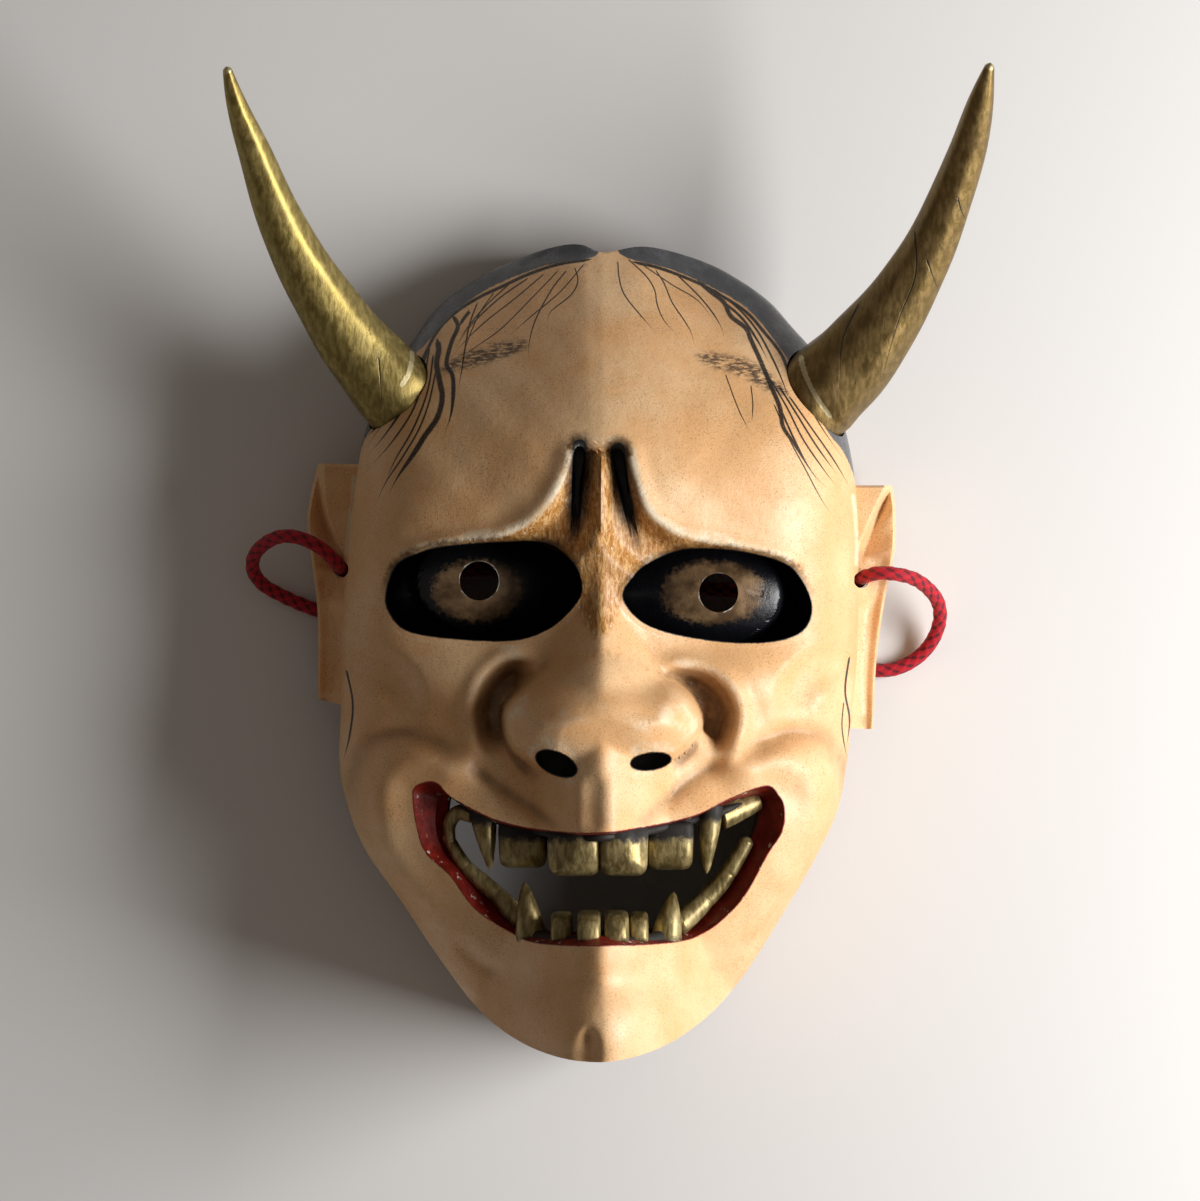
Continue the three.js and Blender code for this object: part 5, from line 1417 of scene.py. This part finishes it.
@dataclass
class Horn:
    """Curved horn: centre line with the radius at each point."""

    name: str
    line: tuple[Point, ...]
    cracks: tuple[tuple[Point, ...], ...]
    join: tuple[Point, ...]
    sides: int = 72
    steps: int = 26

    def plain(self, grow: float) -> Solid:
        """Smooth horn, made wider by grow, for its socket."""
        curve = curve_through(self.line, False, 8)
        return solid_of_rings(tube_rings(curve[:, :3], curve[:, 3] + grow, 48))

    def build(self, finish: bpy.types.Material) -> bpy.types.Object:
        """Horn with slight flats from the knife and a rounded tip."""
        curve = curve_through(self.line, False, self.steps)
        share = np.linspace(0, 1, len(curve))
        angle = np.arange(self.sides) / self.sides * 2 * math.pi
        up = share[:, None]
        flats = 0.018 * np.cos(angle * 7 + 6 * up) + 0.010 * np.sin(angle * 3 + 40 * up)
        tip = np.sqrt(np.clip((1 - up) / 0.012, 0.05, 1))
        radius = curve[:, 3:4] * tip * (1 + flats * (1 - 0.4 * up) - 0.02)
        solid = solid_of_rings(tube_rings(curve[:, :3], radius, self.sides))
        x, y, _ = solid.points.T
        crack = np.full(len(x), 20.0)
        for line in self.cracks:
            distance, along = along_line(x, y, line)
            half = 0.28 * (1.05 - along) + 0.05
            crack = np.where(np.abs(distance / half) < np.abs(crack), distance / half, crack)
        ring_share = np.append(np.repeat(share, self.sides), [0.0, 1.0])
        distance, along = along_line(x, y, self.join)
        joint = 1.6 * (1 - ease(0.25, 0.8, np.abs(distance))) * fade_ends(along, 0.1, 0.8)
        wear = np.maximum(0.75 * ease(0.955, 1.0, ring_share), joint)
        layers = {"gilding": np.stack([crack, wear, np.full(len(x), 50.0)], 1)}
        return mesh_object(self.name, solid, finish, layers)


HORNS = (
    Horn("gilded_horn_left", (
        (-50.5, 63.5, 32, 10.6), (-54.5, 68.6, 33, 10.9), (-64.6, 80.5, 37, 9.5), (-74.9, 95.9, 43.5, 7.7),
        (-83.1, 111.6, 51, 6.2), (-89.8, 129.6, 61, 4.4), (-94.2, 141.8, 69, 2.7), (-96.6, 151, 76, 1.1),
    ), (((-57.8, 76.1), (-57.4, 70), (-57.0, 65.1)),),
        ((-49.4, 79.0), (-49.2, 76), (-50.2, 72), (-52.6, 68.3))),
    Horn("gilded_horn_right", (
        (54.5, 63.5, 32, 11.5), (59.1, 68.8, 33, 11.9), (69.2, 79.3, 37, 10.7), (80.2, 94.6, 43.5, 8.2),
        (88.3, 110.1, 51, 6.5), (95.5, 129.6, 61, 5), (98.6, 141.8, 69, 3.5), (101, 152, 76, 1.1),
    ), (
        ((67.5, 90.0), (63.3, 80.6), (62.5, 68.8)),
        ((82.2, 108.7), (82.2, 97.7), (78.0, 86.4), (74.3, 73.2)),
        ((93.2, 116.8), (94, 114.4), (95.0, 112.4)),
        ((85.3, 101.3), (87, 97), (88.5, 94.0)),
    ), ((52.5, 78.0), (53.4, 73.0), (56.4, 66.5), (61.5, 59.5))),
)


@dataclass(frozen=True)
class Jaw:
    """Row of block teeth: place of its roots, spare half width and length of its dark roots."""

    root: float
    spare: float
    dark: float


@dataclass
class Teeth:
    """Gilded teeth and fangs on the ridge behind the lips."""

    form: FaceForm
    back: float = 48.0
    below_lip: float = 5.0
    tuck: float = 1.6
    fang_dark: float = 3.6
    upper: tuple[Point, ...] = (
        (-25.7, -14.4, -56.7), (-12.8, -0.2, -58.5), (0.3, 11.8, -58.5), (12.9, 23.6, -57.2))
    lower: tuple[Point, ...] = ((-12.3, -7.6, -68), (-5.5, 0, -67.7), (1.3, 7.1, -67.7), (8.1, 12.1, -68))
    upper_jaw: Jaw = Jaw(root=-44.5, spare=0.9, dark=4.6)
    lower_jaw: Jaw = Jaw(root=-76.0, spare=0.6, dark=0.2)
    fangs: tuple[tuple[Point, Point, float], ...] = (
        ((-30.6, -41.5), (-28.6, -57), 3.5), ((28.8, -40.5), (27.8, -58.2), 3.3),
        ((-17.8, -75.2), (-19.7, -60.4), 4.1), ((17.2, -75.2), (19.2, -63), 4.1))
    rows: tuple[tuple[tuple[Point, ...], Point, int], ...] = (
        (((-40.5, -47.5), (-35, -56.5), (-27, -63.8), (-20, -71)), (1.5, 2.9), 3),
        (((19.5, -72.5), (27.5, -65.2), (33.6, -58), (39, -49)), (3.2, 1.9), 3),
        (((-33, -43), (-37, -42.4), (-39.2, -45.5), (-39, -50.5)), (2.3, 1.4), 1),
        (((31, -43.5), (35.5, -41.8), (41.5, -39.2)), (3.8, 2.6), 1))
    gums: tuple[tuple[tuple[Point, ...], float], ...] = (
        (((-37, -40.5), (-30, -43), (-20, -46), (-8, -48), (0, -48.2), (8, -47.6), (20, -45.2), (30, -42.6),
          (37, -40)), 1.2),
        (((-22, -72), (-14, -75), (0, -75.9), (13, -75.2), (21, -72.4)), 1.7))

    def _front(self, x: float, y: float) -> float:
        """Height of the tooth fronts at a point."""
        return float(self.form.height(np.array([x]), np.array([y]))[0]) - self.below_lip

    def _block(self, start: float, end: float, edge: float, jaw: Jaw) -> tuple[Solid, Array]:
        """Rounded block tooth, and the distance of each point from the lip it grows under.

        Args:
            start: left side of the tooth.
            end: right side of the tooth.
            edge: place of its biting edge.
            jaw: the row that it stands in.
        Returns:
            The tooth and the distances.
        """
        root = jaw.root
        middle, high = (start + end) / 2, self._front((start + end) / 2, root)
        half = np.array([(end - start) / 2, abs(edge - root) / 2, (high - self.back) / 2])
        round_u = np.linspace(0, 2 * math.pi, 60, endpoint=False)
        round_v = np.linspace(-math.pi / 2, math.pi / 2, 42)[1:-1, None]

        def power(value: Array, e: float) -> Array:
            """Signed power, which squares a circle off."""
            return np.sign(value) * np.abs(value) ** e

        cx = power(np.cos(round_v), 0.2) * power(np.cos(round_u), 0.2)
        cz = power(np.cos(round_v), 0.25) * power(np.sin(round_u), 0.35)
        cy = power(np.sin(round_v), 0.3) * np.ones_like(round_u)
        toward = -cy * math.copysign(1.0, edge - root)
        rooted = np.maximum(-toward, 0)
        x = middle + (half[0] + jaw.spare) * cx * (1 - 0.03 * (1 - toward) - 0.14 * rooted**6)
        y = (edge + root) / 2 + half[1] * cy
        bulge = 1.2 * (1 - cx**2) - 4.4 * rooted**2
        z = self.back + half[2] + half[2] * cz + np.where(cz > 0, bulge, 0)
        z = np.minimum(z, self.form.height(x.ravel(), y.ravel()).reshape(x.shape) - self.tuck)
        solid = solid_of_rings(np.stack([x, y, z], 2))
        return solid, np.abs(solid.points[:, 1] - root) - jaw.dark

    def _fang(self, root: Point, tip: Point, radius: float) -> tuple[Solid, Array]:
        """Pointed tooth that leans from its root to its tip."""
        high = self._front(*root) - radius + 1.5
        t = np.linspace(0, 1, 40)
        curve = np.stack([root[0] + (tip[0] - root[0]) * t, root[1] + (tip[1] - root[1]) * t,
                          high + 1.2 * np.sin(t * math.pi) - t], 1)
        width = (radius + (0.6 - radius) * t**1.6) * np.sqrt(np.clip((1 - t) / 0.06, 0.1, 1))
        solid = solid_of_rings(tube_rings(curve, width, 36))
        return solid, np.abs(solid.points[:, 1] - root[1]) - (self.fang_dark if tip[1] < root[1] else 0.0)

    def _row(self, line: Sequence[Point], ends: Point, count: int) -> tuple[Solid, Array]:
        """Ridge of worn side teeth, parted by shallow notches, that narrows from one end to the other."""
        curve = curve_through([(x, y, self._front(x, y) - max(ends) - 1) for x, y in line], False, 30)
        share = np.linspace(0, 1, len(curve))
        wave = np.abs(np.sin(share * math.pi * count))
        width = (ends[0] + (ends[1] - ends[0]) * share) * (0.88 + 0.12 * wave**0.3)
        width *= np.sqrt(np.clip(share * (1 - share) / 0.03, 0.12, 1))
        solid = solid_of_rings(tube_rings(curve, width, 30))
        return solid, np.append(np.repeat(wave * 7 + 0.8, 30), [0, 0])

    def _gum(self, line: Sequence[Point], radius: float) -> tuple[Solid, Array]:
        """Dark ridge that the teeth stand in."""
        curve = curve_through([(x, y, self._front(x, y) - radius - 0.6) for x, y in line], False, 20)
        share = np.linspace(0, 1, len(curve))
        width = radius * np.sqrt(np.clip(4 * share * (1 - share) / 0.3, 0.05, 1))
        solid = solid_of_rings(tube_rings(curve, width, 28))
        return solid, np.full(len(solid.points), -1.6)

    def build(self, finish: bpy.types.Material) -> bpy.types.Object:
        """All teeth as one mesh."""
        made = [self._block(*tooth, self.upper_jaw) for tooth in self.upper]
        made += [self._gum(line, radius) for line, radius in self.gums]
        made += [self._block(*tooth, self.lower_jaw) for tooth in self.lower]
        made += [self._fang(*fang) for fang in self.fangs]
        made += [self._row(*row) for row in self.rows]
        starts = np.cumsum([0] + [len(solid.points) for solid, _ in made])
        points = np.vstack([solid.points for solid, _ in made])
        faces = np.vstack([solid.faces + start for (solid, _), start in zip(made, starts)])
        root = np.concatenate([distance for _, distance in made])
        layers = {"gilding": np.stack([np.full(len(root), 20.0), np.full(len(root), 0.1), root], 1)}
        return mesh_object("gilded_teeth", Solid(points, faces), finish, layers)


@dataclass
class HangingCord:
    """One braided cord through both ears, tied behind the mask at each side."""

    diameter: float = 3.8
    sides: int = 32
    ring_gap: float = 0.4
    plait: float = 4.0
    route: tuple[Point, ...] = (
        (-50.5, 16.5, 2), (-54, 12, 2), (-62, 9, 2), (-74, 10.2, 2), (-79.5, 12.1, 2.2), (-84.5, 14.4, 3.2),
        (-89.2, 17.2, 5.5), (-91.7, 20.8, 9), (-91.3, 24.8, 13.5), (-88, 28.2, 19), (-83.5, 29.9, 23.5),
        (-78.5, 29.3, 26), (-73.5, 26.8, 26.3), (-70.2, 23.8, 23), (-68.5, 21.8, 16.5), (-68.1, 21.1, 10),
        (-65.7, 20.8, 4.4), (-60, 20.7, 2.2), (-50.5, 20.9, 2), (-31, 21.2, 2), (0, 19.2, 2), (31, 16, 2),
        (50.5, 15.4, 2), (60.6, 16.8, 2.2), (66.3, 17.6, 4.4), (68.6, 18.2, 10), (68.9, 18.6, 16),
        (70.2, 19.4, 22.5), (73.5, 20.2, 26), (78, 19.9, 26), (82.7, 18.7, 22.5), (86.6, 16.1, 17.5),
        (89.3, 12.6, 12.5), (90, 8.4, 8.5), (88.9, 4, 5.3), (86.6, 0.2, 3.4), (83.3, -2.8, 2.3),
        (78.8, -5, 2), (73.5, -5.5, 2), (62, -2.5, 2), (54, 4.5, 2), (50.5, 11, 2),
    )
    knots: tuple[Point, ...] = ((-50.5, 18.7, 4), (50.5, 13.2, 4))
    knot_half: Point = (4.4, 5.0, 3.7)
    knot_tight: float = 0.95
    knot_depth: float = 0.7
    braid_relief: float = 0.10

    def centre_line(self) -> Array:
        """Evenly spaced points of the route."""
        rough = centripetal(np.array(self.route, float), 24)
        lengths = np.concatenate([[0], np.cumsum(np.linalg.norm(np.diff(rough, axis=0), axis=1))])
        count = int(lengths[-1] / self.ring_gap)
        at = np.linspace(0, lengths[-1], count)
        return np.stack([np.interp(at, lengths, rough[:, k]) for k in range(3)], 1)

    def braid(self, along: Array, angle: Array) -> Array:
        """Relief of eight strands that cross over and under, 0 in the gaps and 1 on the strands."""
        p = along / self.plait * 2 * math.pi
        over = np.cos(4 * angle + p)
        under = np.cos(4 * angle - p)
        front = np.cos(4 * angle) * np.cos(p)
        return 0.5 + 0.5 * np.where(front > 0, over, under) * ease(0, 0.35, np.abs(front))

    @staticmethod
    def _layers(depth: Array) -> dict[str, Array]:
        """Stored depth of the braid, 0 in its gaps and 1 on its strands."""
        return {"braid": np.stack([depth] * 3, 1)}

    def build(self, finish: bpy.types.Material) -> tuple[bpy.types.Object, Array]:
        """Cord mesh and its centre line in metres of the row frame."""
        line = self.centre_line()
        along = np.arange(len(line))[:, None] * self.ring_gap
        angle = (np.arange(self.sides) / self.sides * 2 * math.pi)[None, :]
        relief = self.braid(along, angle)
        radius = self.diameter / 2 * (1 - self.braid_relief * (1 - relief))
        solid = solid_of_rings(tube_rings(line, radius, self.sides))
        layers = self._layers(np.append(relief.ravel(), [0.5, 0.5]))
        return mesh_object("cord_braid", solid, finish, layers), (line + FRAME_SHIFT) * MM

    def build_knot(self, number: int, finish: bpy.types.Material) -> bpy.types.Object:
        """Overhand knot: a closed turn of cord wound on an ellipsoid."""
        centre = np.array(self.knots[number])
        t = np.linspace(0, 2 * math.pi, 240, endpoint=False)
        radius = self.diameter / 2 * self.knot_tight
        loop = np.stack([np.sin(t) + 0.9 * np.sin(2 * t), np.cos(t) - 0.9 * np.cos(2 * t),
                         -0.9 * np.sin(3 * t)], 1)
        curve = centre + loop / 1.9 * (np.array(self.knot_half) - radius)
        curve = np.vstack([curve, curve[:1]])
        solid = solid_of_rings(tube_rings(curve, np.full(len(curve), radius), 24))
        layers = self._layers(np.full(len(solid.points), self.knot_depth))
        return mesh_object(f"cord_knot_{number + 1}", solid, finish, layers)


# Floor, light and camera


@dataclass(frozen=True)
class Studio:
    """Pale floor, soft key light from the right, even fill and the camera above."""

    camera_height: float = 3.0
    focus_height: float = 0.035
    view_width: float = 0.315
    centre: Point = (-0.0022, -0.0102)
    key_from: Point = (0.78, -0.09, 0.49)
    key_distance: float = 0.84
    key_size: float = 0.58
    key_height: float = 0.36
    key_power: float = 10.4
    key_colour: Point = (1.0, 0.99, 0.98)
    fill: float = 0.13
    fill_colour: Point = (1.0, 0.87, 0.76, 1.0)
    sensor: float = 36.0
    floor_half: float = 3.0

    def build(self) -> None:
        """Adds the floor, the key light, the fill and the camera."""
        scene = bpy.context.scene
        mesh = bpy.data.meshes.new("floor")
        far = self.floor_half
        corners = [(-far, -far, 0), (far, -far, 0), (far, far, 0), (-far, far, 0)]
        mesh.from_pydata(corners, [], [(0, 1, 2, 3)])
        mesh.materials.append(Backdrop().material())
        floor = bpy.data.objects.new("floor", mesh)
        scene.collection.objects.link(floor)
        world = bpy.data.worlds.new("studio")
        world.use_nodes = True
        sky = world.node_tree.nodes["Background"].inputs
        sky["Color"].default_value, sky["Strength"].default_value = self.fill_colour, self.fill
        scene.world = world
        light = bpy.data.lights.new("key", "AREA")
        light.shape = "RECTANGLE"
        light.size, light.size_y = self.key_size, self.key_height
        light.energy = self.key_power
        light.color = self.key_colour
        key = bpy.data.objects.new("key", light)
        way = np.array(self.key_from) / np.linalg.norm(self.key_from)
        key.location = way * self.key_distance
        key.rotation_euler = (math.acos(way[2]), 0.0, math.atan2(way[1], way[0]) + math.pi / 2)
        scene.collection.objects.link(key)
        lens = bpy.data.cameras.new("camera")
        distance = self.camera_height - self.focus_height
        lens.sensor_width = self.sensor
        lens.lens = self.sensor * distance / self.view_width
        lens.clip_end = 20
        camera = bpy.data.objects.new("camera", lens)
        camera.location = (*self.centre, self.camera_height)
        scene.collection.objects.link(camera)
        scene.camera = camera
        scene.view_settings.view_transform = "Standard"


def main() -> None:
    """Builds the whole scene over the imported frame."""
    logging.basicConfig(level=logging.INFO, format="%(message)s")
    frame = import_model()
    LOG.info("frame nodes: %s", ", ".join(frame["nodes"]))
    form = FaceForm()
    face = MaskFace(form).build(HORNS)
    teeth = Teeth(form).build(TEETH_GILDING.material())
    horns = [horn.build(finish.material()) for horn, finish in zip(HORNS, HORN_GILDING)]
    cord = HangingCord()
    braid_finish = BraidedCord().material()
    braid, line = cord.build(braid_finish)
    knots = [cord.build_knot(k, braid_finish) for k in range(len(cord.knots))]
    for piece, slot, nodes in (
        (face, "painted_wood", ("mask_face",)), (teeth, "gilded_wood", ("mask_face",)),
        (horns[0], "gilded_wood", ("horn_left",)), (horns[1], "gilded_wood", ("horn_right",)),
        (braid, "braided_cord", ("cord",)), (knots[0], "braided_cord", ("cord",)),
        (knots[1], "braided_cord", ("cord",)),
    ):
        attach(piece, "root")
        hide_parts(*nodes)
    Studio().build()


if __name__ == "__main__":
    main()
